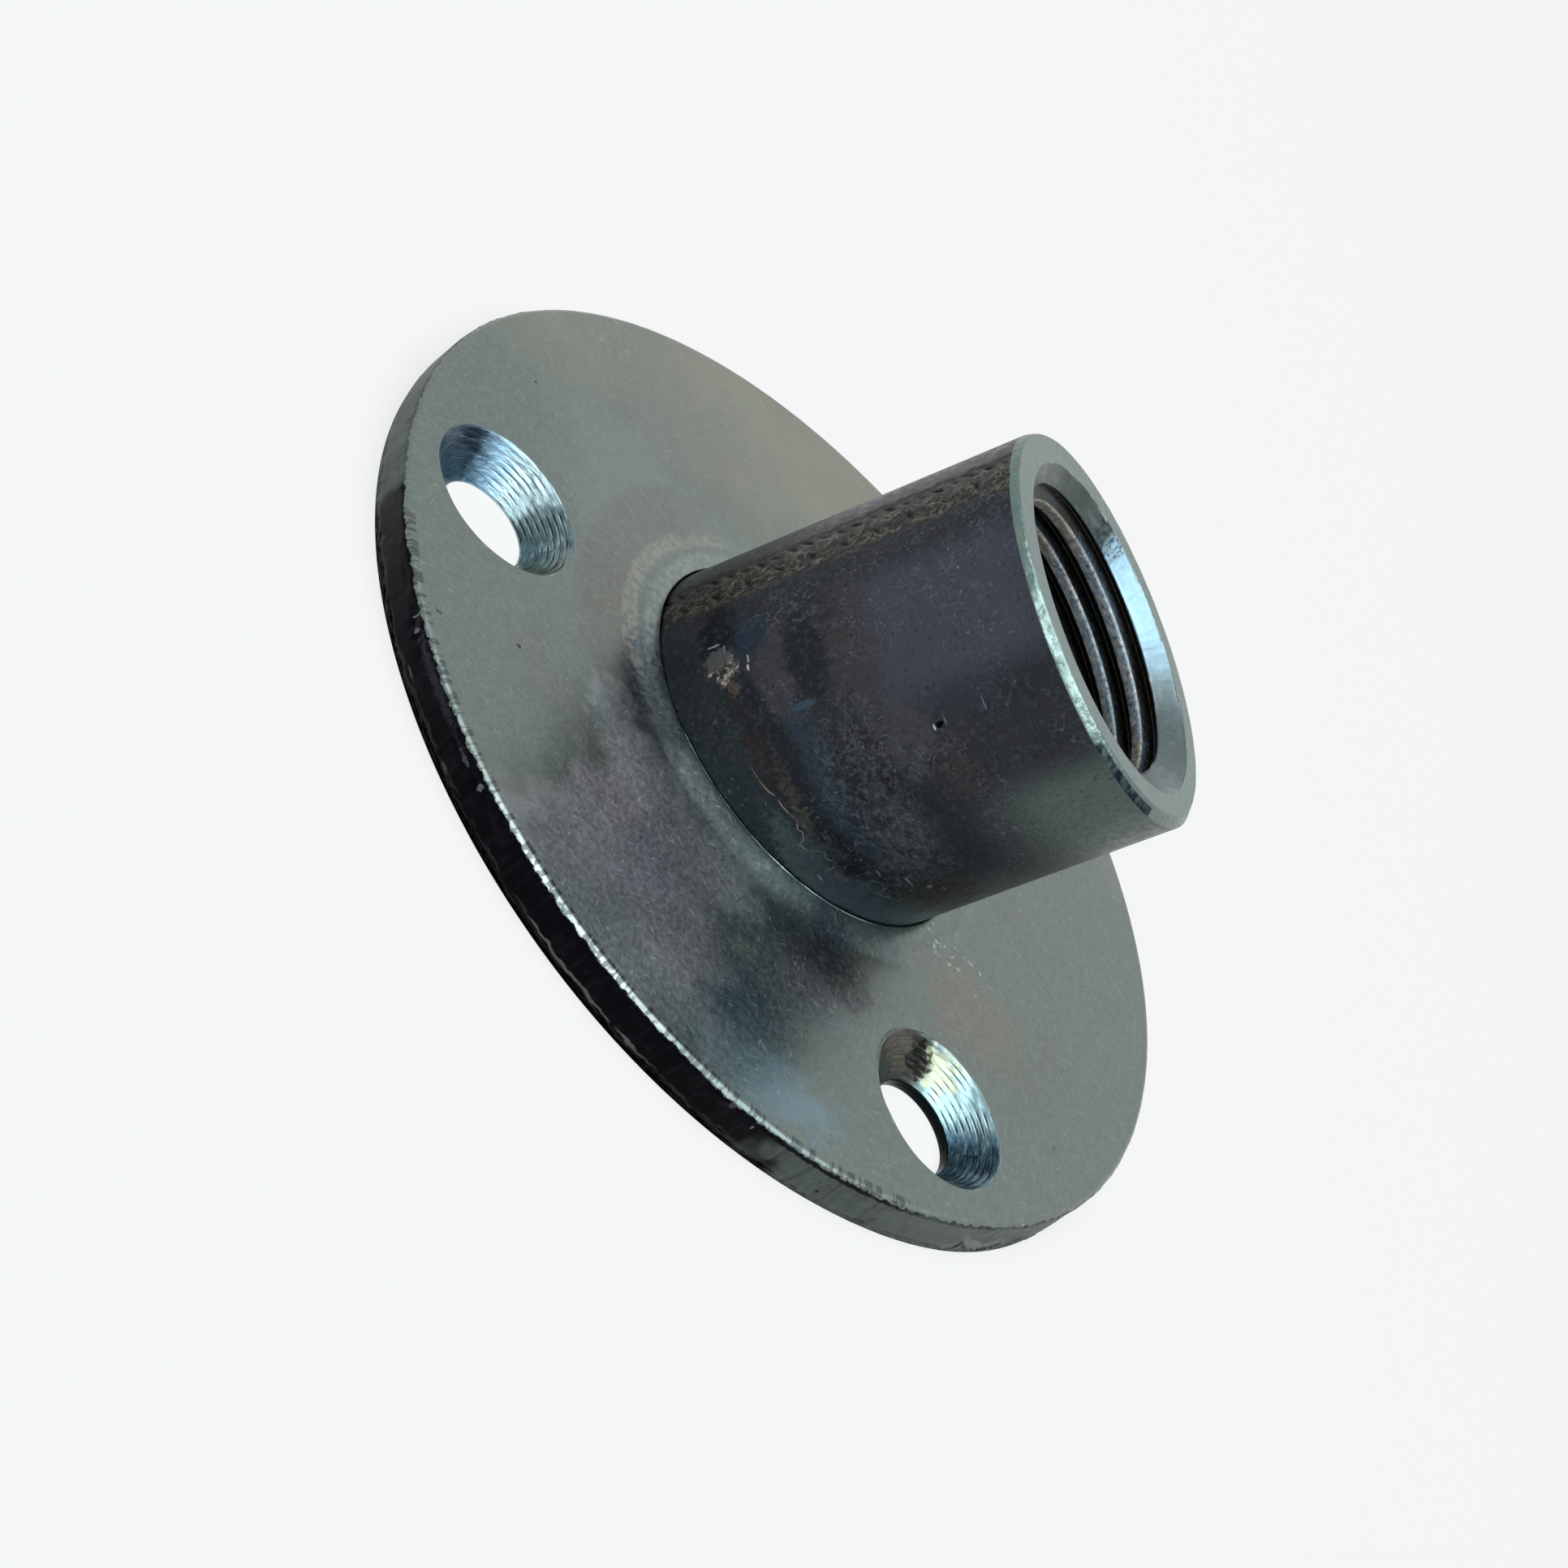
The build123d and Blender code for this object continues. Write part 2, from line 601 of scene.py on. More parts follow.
    def _hole_centres(self, number: int) -> tuple[Array, Array]:
        """Finds a screw hole. The first one and its countersink are off their places.

        Args:
            number: Which hole, from 0.

        Returns:
            Centre of the hole and centre of its countersink.
        """
        turn = math.radians(self.first_hole + 360 * number / self.hole_count)
        centre = np.array([math.cos(turn), math.sin(turn)]) * self.screw_circle / 2
        if number == 0:
            return centre + self.first_hole_shift, centre + self.first_sink_shift
        return centre, centre + self.sink_shift

    def _hole(self, patch: Patchwork, number: int) -> list[Ring]:
        """Adds the rows down a countersink and its screw hole.

        Args:
            patch: Patchwork that the rows go in.
            number: Which hole, from 0.

        Returns:
            The rows, from the front face to the back face.
        """
        hole, sink = self._hole_centres(number)
        turns = np.linspace(0, 1, self.hole_columns, endpoint=False)
        turn = turns * 2 * math.pi
        wall = hole + self.hole_diameter / 2 * np.stack([np.cos(turn), np.sin(turn)], axis=1)
        away = wall - sink
        reach = np.linalg.norm(away, axis=1)
        outward = away / reach[:, None]
        top = self.countersink_diameter / 2
        around = np.linspace(0, 2 * math.pi * top, self.hole_columns + 1)
        burr = self.burr_height + self.burr.row(number).at(turns)
        edge_wave = self.sink_edge.row(number).at(turns)
        rows = []
        for distance, rise in self.burr_profile:
            flat = sink + outward * (top + distance + edge_wave)[:, None]
            height = self.thickness + burr * rise
            rows.append(patch.ring(np.column_stack([flat, height]), around, -distance))
        land = self.sink_lands[number]
        slant = np.hypot(top - reach, self.thickness - land)
        shift = self.phase_share * self.chatter_phase.row(number).at(turns)
        strength = self.chatter_strength.size + self.chatter_strength.row(number).at(turns)
        for step in range(1, self.sink_rows + 1):
            share = step / self.sink_rows
            down = share * slant
            wave = np.sin(2 * math.pi * (down / self.chatter_pitch + shift))
            fade = min(share * self.chatter_fade, 1) * min((1 - share) * self.chatter_fade, 1)
            push = self.chatter_depth * fade * strength * wave
            radius = top - share * (top - reach) + push + edge_wave * (1 - share)
            flat = sink + outward * radius[:, None]
            height = self.thickness - share * (self.thickness - land) + push
            rows.append(patch.ring(np.column_stack([flat, height]), around, down))
        for share in self.hole_rows:
            height = np.full(self.hole_columns, land * (1 - share))
            rows.append(patch.ring(np.column_stack([wall, height]), around, slant + land * share))
        return rows

    def _root_ring(self, patch: Patchwork) -> list[Ring]:
        """Adds the rows over the raised ring and down the wall of the socket's seat.

        Args:
            patch: Patchwork that the rows go in.

        Returns:
            The rows, from the front face to the floor of the seat.
        """
        count = self.ring_columns
        turns = np.linspace(0, 1, count, endpoint=False)
        turn = turns * 2 * math.pi
        tilt = math.tan(math.radians(self.lean))
        stretch = 1 / math.cos(math.radians(self.lean))
        seat = self.socket_diameter / 2 + self.seat_clearance
        around = np.linspace(0, 2 * math.pi * seat, count + 1)

        def row(offset: Array | float, rise: Array | float, across: float) -> Ring:
            """Adds one row.

            Args:
                offset: Distance of its points from the seat's wall.
                rise: Height over the front face.
                across: Distance across the rows.

            Returns:
                The row.
            """
            rise = np.broadcast_to(rise, count)
            offset = np.broadcast_to(offset, count)
            x = rise * tilt + (seat * stretch + offset) * np.cos(turn)
            y = (seat + offset) * np.sin(turn)
            return patch.ring(np.stack([x, y, self.thickness + rise], axis=1), around, across)

        width = self.ring_width - self.seat_clearance
        edge = sum((wave.at(turns) for wave in self.ring_edge), width)
        rows = [row(edge, 0.0, 0.0)]
        crest = self.ring_crest - self.seat_clearance
        lumps = self.ring_lumps.at(turns)
        for step, share in enumerate(np.linspace(0, 1, self.ring_rows)[1:]):
            ease = eased(share) * self.ring_ease + share * self.ring_straight
            grain = self.ring_grain.row(step).at(turns) + lumps
            rise = self.ring_height * ease + grain * math.sin(math.pi * share)
            rows.append(row(edge + (crest - edge) * share, rise, share * width))
        radius = self.ring_crest_radius
        uneven = self.crest_uneven.at(turns)
        beyond = self.lip_spread - np.abs(turn_gap(turns * 360, self.lip_direction))
        swing = 1 - self.lip_uneven.size + self.lip_uneven.at(turns)
        lip = self.lip_height * np.clip(beyond / self.lip_fade, 0, 1) * swing
        profile = [(inset, 0.0) for inset in self.crest_insets]
        profile += [
            (radius * (1 - math.sin(angle)), radius * (1 - math.cos(angle)))
            for angle in np.radians(np.linspace(0, 90, self.crest_rows))
        ]
        for step, (offset, fall) in enumerate(profile):
            swell = bump(np.full(1, offset - self.lip_inset), self.lip_reach)
            rise = self.ring_height - fall + lip * swell
            rows.append(row(offset + uneven, rise, width + self.crest_step * step))
        top, bottom = self.seat_across
        return rows + [row(0.0, 0.0, width + top), row(0.0, -self.seat_depth, width + bottom)]

    def _passage(self, patch: Patchwork) -> list[Ring]:
        """Adds the rows down the wall of the hole behind the socket's bore.

        Args:
            patch: Patchwork that the rows go in.

        Returns:
            The rows, from the floor of the seat to the back face.
        """
        turn = np.linspace(0, 2 * math.pi, self.ring_columns, endpoint=False)
        radius = self.passage_diameter / 2
        around = np.linspace(0, 2 * math.pi * radius, self.ring_columns + 1)
        centre = -self.seat_depth * math.tan(math.radians(self.lean))
        x, y = centre + radius * np.cos(turn), radius * np.sin(turn)
        floor = self.thickness - self.seat_depth
        return [
            patch.ring(np.stack([x, y, np.full_like(x, height)], axis=1), around, floor - height)
            for height in (floor, floor / 2, 0.0)
        ]


@dataclass(frozen=True)
class ToothRow:
    """A column of like marks that the teeth of the clamping jaw left, one above the other.

    Attributes:
        side: Distance of the column from the strip's middle.
        start: Height of its first mark.
        pitch: Distance from one mark to the next.
        slope: Which way a mark runs, in degrees from level.
        half_length: How far a mark reaches along its run.
        half_width: How far it reaches across.
        depth: How deep it is, or below 0 for a raised ridge.
        side_play: How far a mark strays sideways.
        slope_play: How far its run strays, in radians.
        strength_play: How far its strength strays from mark to mark.
        play_steps: Radians from one mark to the next in the waves of those three.
    """

    side: float
    start: float
    pitch: float
    slope: float
    half_length: float
    half_width: float
    depth: float
    side_play: float = 0.14
    slope_play: float = 0.25
    strength_play: float = 0.25
    play_steps: tuple[float, float, float] = (5.1, 3.7, 2.3)

    def press(self, side: Array, height: Array) -> Array:
        """Works out how strongly the marks show.

        Args:
            side: Distance of each place from the strip's middle.
            height: Height of each place.

        Returns:
            Strength from 0 to 1 at each place.
        """
        step = np.round((height - self.start) / self.pitch)
        sideways, sloping, lasting = self.play_steps
        shift = self.side_play * np.sin(step * sideways + self.side)
        up = height - self.start - step * self.pitch
        beside = side - self.side - shift
        slope = math.radians(self.slope) + self.slope_play * np.sin(step * sloping)
        along = beside * np.cos(slope) + up * np.sin(slope)
        over = up * np.cos(slope) - beside * np.sin(slope)
        strength = 1 - self.strength_play + self.strength_play * np.sin(step * lasting + 1)
        return strength * bump(along, self.half_length) * bump(over, self.half_width)


@dataclass
class ThreadedSocket:
    """The turned socket with its jaw marks, chamfered mouth and internal pipe thread."""

    plate_thickness: float = 3.0
    lean: float = 15.0
    diameter: float = 26.9
    reach: float = 22.2
    sink: float = 1.2
    chamfer_width: float = 0.45
    chamfer_depth: float = 0.6
    chamfer_offset: float = 0.25
    chamfer_widest: float = -15.0
    # The bore, its thread and its countersunk mouth.
    raw_bore: float = 17.9
    minor_diameter: float = 18.631
    thread_height: float = 1.05
    crest_width: float = 0.62
    burr_reach: float = 0.16
    root_width: float = 0.1
    crest_direction: float = 179.0
    pitch: float = 1.814
    thread_depth: float = 18.0
    drill_angle: float = 118.0
    mouth_diameter: float = 22.6
    mouth_angle: float = 110.0
    # How finely the surfaces are divided, and how uneven the wall and the mouth are.
    column_gap: float = 1.5
    bore_columns: int = 200
    rows_per_pitch: int = 16
    wall_rows: int = 160
    out_of_round: Wobble = Wobble(401, 5, 0.012)
    wall_twist: float = 0.05
    mouth_rows: int = 5
    mouth_uneven: tuple[Wobble, ...] = (Wobble(501, 30, 0.04), Wobble(502, 110, 0.03))
    # The strip that the clamping jaw pressed into the wall.
    jaw_direction: float = -184.6
    jaw_width: float = 3.8
    jaw_depth: float = 0.05
    jaw_fade: float = 0.3
    jaw_margin: float = 1.25
    jaw_wander: tuple[tuple[float, float], ...] = ((0.15, 2.7), (0.1, 6.1))
    teeth: tuple[ToothRow, ...] = (
        ToothRow(-1.0, 0.2, 1.17, 50.0, 0.5, 0.15, 0.13),
        ToothRow(0.8, 0.6, 2.35, 35.0, 0.55, 0.15, 0.13),
        ToothRow(0.05, 1.75, 2.35, -38.0, 0.6, 0.12, -0.07),
        ToothRow(1.45, 1.1, 1.17, -50.0, 0.35, 0.1, -0.04),
    )

    def place(self) -> Matrix:
        """Turns the socket's own frame, with its axis along Z, to where it stands on the plate."""
        lean = Matrix.Rotation(math.radians(self.lean), 4, "Y")
        return Matrix.Translation((0, 0, self.plate_thickness)) @ lean

    def build(self, finishes: Sequence[bpy.types.Material]) -> bpy.types.Object:
        """Builds the socket as one closed mesh.

        Args:
            finishes: Materials of the wall, the turned end, the bore and the raw bore.

        Returns:
            The socket's object.
        """
        patch = Patchwork()
        wall, end, bore, raw = range(4)
        turn = self._columns()
        wall_rows = self._wall(patch, turn)
        patch.bands(wall_rows, wall)
        mouth_rows = self._mouth_edge(patch, turn)
        patch.bands(mouth_rows, end)
        patch.band(wall_rows[-1], mouth_rows[0], end)
        place = self.place()
        patch.absorb(self.bore(), bore, place)
        even = np.linspace(0, 2 * math.pi, self.bore_columns, endpoint=False)
        mouth = self._row(patch, even, self.mouth_diameter / 2, self.reach)
        axes = np.array(place.to_3x3()).T[:2]
        patch.flat(mouth_rows[-1], [mouth], end, axes)
        foot = self._foot(patch, even, self.raw_bore / 2)
        patch.band(foot, self._row(patch, even, self.raw_bore / 2, self._bore_floor()), raw)
        level = np.array([[1.0, 0, 0], [0, 1.0, 0]])
        patch.flat(wall_rows[0], [foot], raw, level)
        return patch.piece("threaded_socket_body", finishes)

    def _columns(self) -> Array:
        """Sets out the wall's columns, closer together in the strip of jaw marks.

        Returns:
            Their directions in radians.
        """
        half = math.degrees(self.jaw_width / self.diameter) * self.jaw_margin
        middle = self.jaw_direction % 360
        wide = np.arange(0, 360, self.column_gap)
        wide = wide[np.abs(turn_gap(wide, middle)) > half]
        fine = np.arange(middle - half, middle + half, self.column_gap / 3)
        return np.radians(np.sort(np.concatenate([wide, fine])))

    def _set(self, turn: Array, radius: Array | float, height: Array | float) -> Array:
        """Turns the points of a row from the socket's own frame to the plate's.

        Args:
            turn: Direction of each point, in radians.
            radius: Distance from the socket's axis.
            height: Height along the axis.

        Returns:
            The points, one in each row.
        """
        radius = np.broadcast_to(radius, turn.shape)
        height = np.broadcast_to(height, turn.shape)
        own = np.stack([radius * np.cos(turn), radius * np.sin(turn), height], axis=1)
        place = self.place()
        return own @ np.array(place.to_3x3()).T + np.array(place.translation)

    def _around(self, turn: Array) -> Array:
        """Distance round the wall at each column, and at the first one again."""
        return np.append(turn, turn[0] + 2 * math.pi) * self.diameter / 2

    def _row(self, patch: Patchwork, turn: Array, radius: Array | float, height: Array | float) -> Ring:
        """One row round the socket's axis."""
        return patch.ring(self._set(turn, radius, height), self._around(turn), height)

    def _foot_height(self, turn: Array, radius: float) -> Array:
        """Height along the axis at which the floor of the seat cuts the socket off."""
        lean = math.radians(self.lean)
        return (radius * np.cos(turn) * math.sin(lean) - self.sink) / math.cos(lean)

    def _foot(self, patch: Patchwork, turn: Array, radius: float) -> Ring:
        """The row where the socket stands on the floor of its seat."""
        height = self._foot_height(turn, radius)
        return self._row(patch, turn, radius, height)

    def _wall(self, patch: Patchwork, turn: Array) -> list[Ring]:
        """Adds the rows up the outer wall, with the dents that the clamping jaws pressed in.

        Args:
            patch: Patchwork that the rows go in.
            turn: Direction of each column, in radians.

        Returns:
            The rows, from the foot to the outer chamfer.
        """
        radius = self.diameter / 2
        foot = self._foot_height(turn, radius)
        top = self.reach - self.chamfer_depth
        degrees = np.degrees(turn)
        side = turn_gap(degrees, self.jaw_direction) * math.pi / 180 * radius
        turns = turn / (2 * math.pi)
        rows = []
        for share in np.linspace(0, 1, self.wall_rows):
            height = foot + (top - foot) * share
            depth, shown = self._jaw_marks(side, height)
            out = radius - depth + self.out_of_round.at(turns + self.wall_twist * share)
            row = self._row(patch, turn, out, height)
            patch.levels.setdefault(PRESSED, []).append((row.start, shown))
            rows.append(row)
        return rows

    def _jaw_marks(self, side: Array, height: Array) -> tuple[Array, Array]:
        """Works out what the clamping jaw left on a row of the wall.

        Args:
            side: Distance of each point from the strip's middle.
            height: Height of each point.

        Returns:
            Depth of the strip and its teeth, and how they show: above 0 a dent, below 0 a ridge.
        """
        wander = sum(size * np.sin(height * rate) for size, rate in self.jaw_wander)
        inside = np.clip((self.jaw_width / 2 - np.abs(side) + wander) / self.jaw_fade, 0, 1)
        depth = self.jaw_depth * inside
        shown = np.zeros_like(side)
        for row in self.teeth:
            press = row.press(side, height)
            depth = depth + press * row.depth
            shown = shown + press * math.copysign(1.0, row.depth)
        return depth, shown

    def _mouth_edge(self, patch: Patchwork, turn: Array) -> list[Ring]:
        """Adds the rows over the rough outer chamfer to the flat end face.

        Args:
            patch: Patchwork that the rows go in.
            turn: Direction of each column, in radians.

        Returns:
            The rows, from the wall to the end face.
        """
        radius = self.diameter / 2
        turns = turn / (2 * math.pi)
        uneven = sum(wave.at(turns) for wave in self.mouth_uneven)
        widest = math.radians(self.chamfer_widest)
        width = self.chamfer_width + self.chamfer_offset * np.cos(turn - widest)
        rows = []
        for share in np.linspace(0, 1, self.mouth_rows)[1:]:
            bulge = uneven * math.sin(math.pi * share)
            out = radius - width * share + bulge
            height = self.reach - self.chamfer_depth * (1 - share) + bulge / 2
            if share == 1:
                out = out - np.abs(uneven)
            rows.append(self._row(patch, turn, out, height))
        return rows

    def _bore_floor(self) -> float:
        """Height of the drill's cone where it meets the raw bore."""
        cone = (self.minor_diameter - self.raw_bore) / 2
        return self.reach - self.thread_depth - cone / math.tan(math.radians(self.drill_angle / 2))

    def _bore_sizes(self) -> dict[str, float]:
        """Works out the sizes that the bore's node tree takes.

        Returns:
            Each size by the name of the tree's input.
        """
        drop = self.pitch * (self.crest_direction % 360) / 360
        first_crest = self.reach - drop - self.pitch * math.ceil(
            (self.reach - self._bore_floor()) / self.pitch
        )
        thread_end = self.reach - self.thread_depth
        return {
            "Pitch": self.pitch,
            "Upper Middle": self.pitch / 2,
            "Lower Middle": -self.pitch / 2,
            "Burr": -self.crest_width / 2,
            "Burr Reach": self.burr_reach,
            "Half Crest": self.crest_width / 2,
            "Root Start": (self.pitch - self.root_width) / 2,
            "First Crest": first_crest,
            "Minor Radius": self.minor_diameter / 2,
            "Thread Height": self.thread_height,
            "Reach": self.reach,
            "Thread End": thread_end,
            "Full Thread": thread_end + 2 * self.pitch,
            "Floor": self._bore_floor(),
            "Raw Radius": self.raw_bore / 2,
            "Mouth Radius": self.mouth_diameter / 2,
            "Mouth Slope": math.tan(math.radians(self.mouth_angle / 2)),
            "Drill Slope": math.tan(math.radians(self.drill_angle / 2)),
        }

    def bore(self) -> bpy.types.Mesh:
        """Makes the threaded bore and its countersunk mouth with Geometry Nodes.

        Returns:
            The bore's mesh, in millimetres and in the socket's own frame.
        """
        tree = self._bore_tree()
        holder = bpy.data.objects.new("bore_former", bpy.data.meshes.new("bore_former"))
        bpy.context.scene.collection.objects.link(holder)
        modifier = holder.modifiers.new("Thread", "NODES")
        modifier.node_group = tree
        sizes = self._bore_sizes()
        for item in tree.interface.items_tree:
            if item.item_type == "SOCKET" and item.in_out == "INPUT":
                modifier[item.identifier] = sizes[item.name]
        shown = holder.evaluated_get(bpy.context.evaluated_depsgraph_get())
        mesh = bpy.data.meshes.new_from_object(shown)
        bpy.data.objects.remove(holder)
        return mesh

    def _bore_tree(self) -> bpy.types.NodeTree:
        """Makes the node tree that bends a grid into a bore whose rows climb with the thread.

        Returns:
            The tree, with an input for each size.
        """
        tree = bpy.data.node_groups.new("ThreadedBore", "GeometryNodeTree")
        for name in self._bore_sizes():
            tree.interface.new_socket(name, in_out="INPUT", socket_type="NodeSocketFloat")
        tree.interface.new_socket("Geometry", in_out="OUTPUT", socket_type="NodeSocketGeometry")
        add = partial(add_node, tree)
        given = add("NodeGroupInput")
        row_gap = self.pitch / self.rows_per_pitch
        rows = math.ceil((self.reach - self._bore_floor() + 2 * self.pitch) / row_gap)
        grid = add(
            "GeometryNodeMeshGrid",
            {"Size X": 1.0, "Size Y": 1.0, "Vertices X": self.bore_columns + 1, "Vertices Y": rows + 1},
        )
        place = add("GeometryNodeInputPosition")
        parts = add(SPLIT, (place[0],))
        turn = add(MATH, (parts["X"], 0.5), operation="ADD")[0]
        row = add(MATH, (parts["Y"], 0.5), operation="ADD")[0]
        climb = add(MATH, (row, rows * row_gap), operation="MULTIPLY")[0]
        from_crest = add(MATH, (climb, given["First Crest"]), operation="ADD")[0]
        height = add(MATH, (turn, given["Pitch"], from_crest), operation="MULTIPLY_ADD")[0]
        kept = add("ShaderNodeClamp", {"Value": height, "Min": given["Floor"], "Max": given["Reach"]})[0]
        over_crest = add(MATH, (climb, given["Upper Middle"], given["Lower Middle"]), operation="WRAP")[0]
        off_crest = add(MATH, (over_crest,), operation="ABSOLUTE")[0]
        from_burr = add(MATH, (over_crest, given["Burr"]), operation="SUBTRACT")[0]
        off_burr = add(MATH, (from_burr,), operation="ABSOLUTE")[0]
        burr = add(MAP_RANGE, {"Value": off_burr, "From Min": given["Burr Reach"], "From Max": 0.0})[0]
        tooth = add(
            MAP_RANGE,
            {"Value": off_crest, "From Min": given["Half Crest"], "From Max": given["Root Start"]},
        )[0]
        run_out = add(
            MAP_RANGE, {"Value": kept, "From Min": given["Thread End"], "From Max": given["Full Thread"]}
        )[0]
        groove = add(MATH, (tooth, run_out), operation="MULTIPLY")[0]
        thread = add(
            MATH, (groove, given["Thread Height"], given["Minor Radius"]), operation="MULTIPLY_ADD"
        )[0]
        below = add(MATH, (kept, given["Reach"]), operation="SUBTRACT")[0]
        cone = add(MATH, (below, given["Mouth Slope"], given["Mouth Radius"]), operation="MULTIPLY_ADD")[0]
        above = add(MATH, (kept, given["Floor"]), operation="SUBTRACT")[0]
        drill = add(MATH, (above, given["Drill Slope"], given["Raw Radius"]), operation="MULTIPLY_ADD")[0]
        widest = add(MATH, (thread, cone), operation="MAXIMUM")[0]
        radius = add(MATH, (widest, drill), operation="MINIMUM")[0]
        angle = add(MATH, (turn, 2 * math.pi), operation="MULTIPLY")[0]
        standing = add("ShaderNodeCombineXYZ", {"X": radius, "Z": kept})[0]
        bent = add(
            "ShaderNodeVectorRotate", {"Vector": standing, "Angle": angle}, rotation_type="Z_AXIS"
        )[0]
        around = add(MATH, (angle, given["Minor Radius"]), operation="MULTIPLY")[0]
        strip = add("ShaderNodeCombineXYZ", {"X": around, "Y": height})[0]
        on_cone = add(MATH, (cone, thread), operation="GREATER_THAN")[0]
        geometry = grid["Mesh"]
        for name, value, kind, domain in (
            (STRIP_MAP, strip, "FLOAT2", "CORNER"),
            ("groove", groove, "FLOAT", "POINT"),
            ("cone", on_cone, "FLOAT", "POINT"),
            ("burr", burr, "FLOAT", "POINT"),
        ):
            geometry = add(
                "GeometryNodeStoreNamedAttribute",
                {"Geometry": geometry, "Name": name, "Value": value},
                data_type=kind,
                domain=domain,
            )[0]
        moved = add("GeometryNodeSetPosition", {"Geometry": geometry, "Position": bent})[0]
        closest = 0.0005
        merged = add("GeometryNodeMergeByDistance", {"Geometry": moved, "Distance": closest})[0]
        realized = add("GeometryNodeRealizeInstances", {"Geometry": merged})[0]
        finished = add("GeometryNodeSetMaterial", {"Geometry": realized})[0]
        add("NodeGroupOutput", {"Geometry": finished})
        return tree


class Chart(Enum):
    """Which places a mark is laid out in."""

    FACE = "millimetres on the object's own XY plane"
    STRIP = "degrees round the socket and millimetres above the plate"


@dataclass(frozen=True)
class Mark:
    """An oval mark on a finish.

    Attributes:
        centre: Its middle, in the places of its chart.
        reach: How far it reaches each way, in millimetres.
        colour: Its colour where it is full.
        strength: How full it is in its middle.
        ragged: How much its outline wanders, as a share of its reach.
        soft: Share of its reach over which it fades.
    """

    centre: tuple[float, float]
    reach: tuple[float, float]
    colour: str
    strength: float = 0.9
    ragged: float = 0.3
    soft: float = 0.5


Layer = tuple[Socket, str]


class Canvas:
    """One material's node tree, with the places in millimetres that its patterns read.

    Attributes:
        seed_step: How far apart the random patterns lie in the noise that they are cut from.
        ragged_share: Size of the patches that wear a mark's outline, as a share of its reach.
        ragged_least: The smallest size of those patches.
        ragged_range: Levels of the noise between which they fade.
        line_range: Levels of the noise that thin lines are drawn in.
        tallest: Height at the top of the curves that lines round the socket follow.
        material: The material.
        add: Adds a node to its tree.
        place: Each place in the object's own frame.
        strip: Each place round the socket and above the plate.
        radius: Radius of the circle that the strip goes round.
        seed: Where the last random pattern was cut.
    """

    seed_step: float = 7.3
    ragged_share: float = 0.6
    ragged_least: float = 0.25
    ragged_range: tuple[float, float] = (0.25, 0.75)
    line_range: tuple[float, float] = (0.3, 0.7)
    tallest: float = 10.0

    def __init__(self, name: str, radius: float = SOCKET_RADIUS) -> None:
        """Makes an empty material.

        Args:
            name: What the material is and how it was made.
            radius: Radius of the circle that the strip goes round.
        """
        self.material = bpy.data.materials.new(name)
        self.material.use_nodes = True
        tree = self.material.node_tree
        tree.nodes.clear()
        self.add = partial(add_node, tree)
        own = self.add("ShaderNodeTexCoord")["Object"]
        self.place = self.add(VECTOR_MATH, {0: own, "Scale": 1 / MM}, operation="SCALE")[0]
        self.strip = self.add("ShaderNodeUVMap", uv_map=STRIP_MAP)[0]
        self.radius = radius
        self.seed = 0.0

    def unroll(self, radius: float) -> None:
        """Lays the strip round the object's own Z axis, in place of its map.

        Args:
            radius: Radius of the circle that the strip goes round.
        """
        self.radius = radius
        parts = self.add(SPLIT, (self.place,))
        angle = self.add(MATH, (parts["Y"], parts["X"]), operation="ARCTAN2")[0]
        turned = self.add(MATH, (angle, math.tau), operation="FLOORED_MODULO")[0]
        along = self.add(MATH, (turned, radius), operation="MULTIPLY")[0]
        self.strip = self.add("ShaderNodeCombineXYZ", {"X": along, "Y": parts["Z"]})[0]

    def around(self, direction: float) -> float:
        """Distance round the strip at a direction in degrees."""
        return math.radians(direction % 360) * self.radius

    def stretched(self, where: Socket, scale: tuple[float, float, float]) -> Socket:
        """Places drawn out or squeezed along each axis."""
        return self.add(VECTOR_MATH, (where, scale), operation="MULTIPLY")[0]

    def patches(
        self,
        size: float,
        low: float,
        high: float,
        strength: float = 1.0,
        where: Socket | None = None,
        detail: float = 2.0,
    ) -> Socket:
        """Makes a mask of random patches, a new pattern at each call.

        Args:
            size: Size of a patch in millimetres.
            low: Level of the noise at which the mask starts.
            high: Level of the noise at which it is full.
            strength: How strong the full mask is.
            where: Place that the pattern reads, or nothing for the object's own.
            detail: How many finer levels the patches have.

        Returns:
            The mask.
        """
        self.seed += self.seed_step
        noise = self.add(
            "ShaderNodeTexNoise",
            {"Vector": where or self.place, "W": self.seed, "Scale": 1 / size, "Detail": detail},
            noise_dimensions="4D",
        )[0]
        return self.add(
            MAP_RANGE,
            {"Value": noise, "From Min": low, "From Max": high, "To Max": strength},
            interpolation_type="SMOOTHSTEP",
        )[0]

    def streaks(
        self, wide: float, long: float, turn: float, low: float, high: float, strength: float = 1.0
    ) -> Socket:
        """Makes a mask of short marks that all run one way across the object's own XY plane.

        Args:
            wide: Width of a mark in millimetres.
            long: Length of a mark in millimetres.
            turn: Which way the marks run, in degrees from the X axis.
            low: Level of the noise at which the mask starts.
            high: Level of the noise at which it is full.
            strength: How strong the full mask is.

        Returns:
            The mask.
        """
        turned = self.add(
            "ShaderNodeVectorRotate",
            {"Vector": self.place, "Angle": math.radians(-turn)},
            rotation_type="Z_AXIS",
        )[0]
        drawn = self.stretched(turned, (wide / long, 1.0, 1.0))
        return self.patches(wide, low, high, strength, drawn, 1.0)

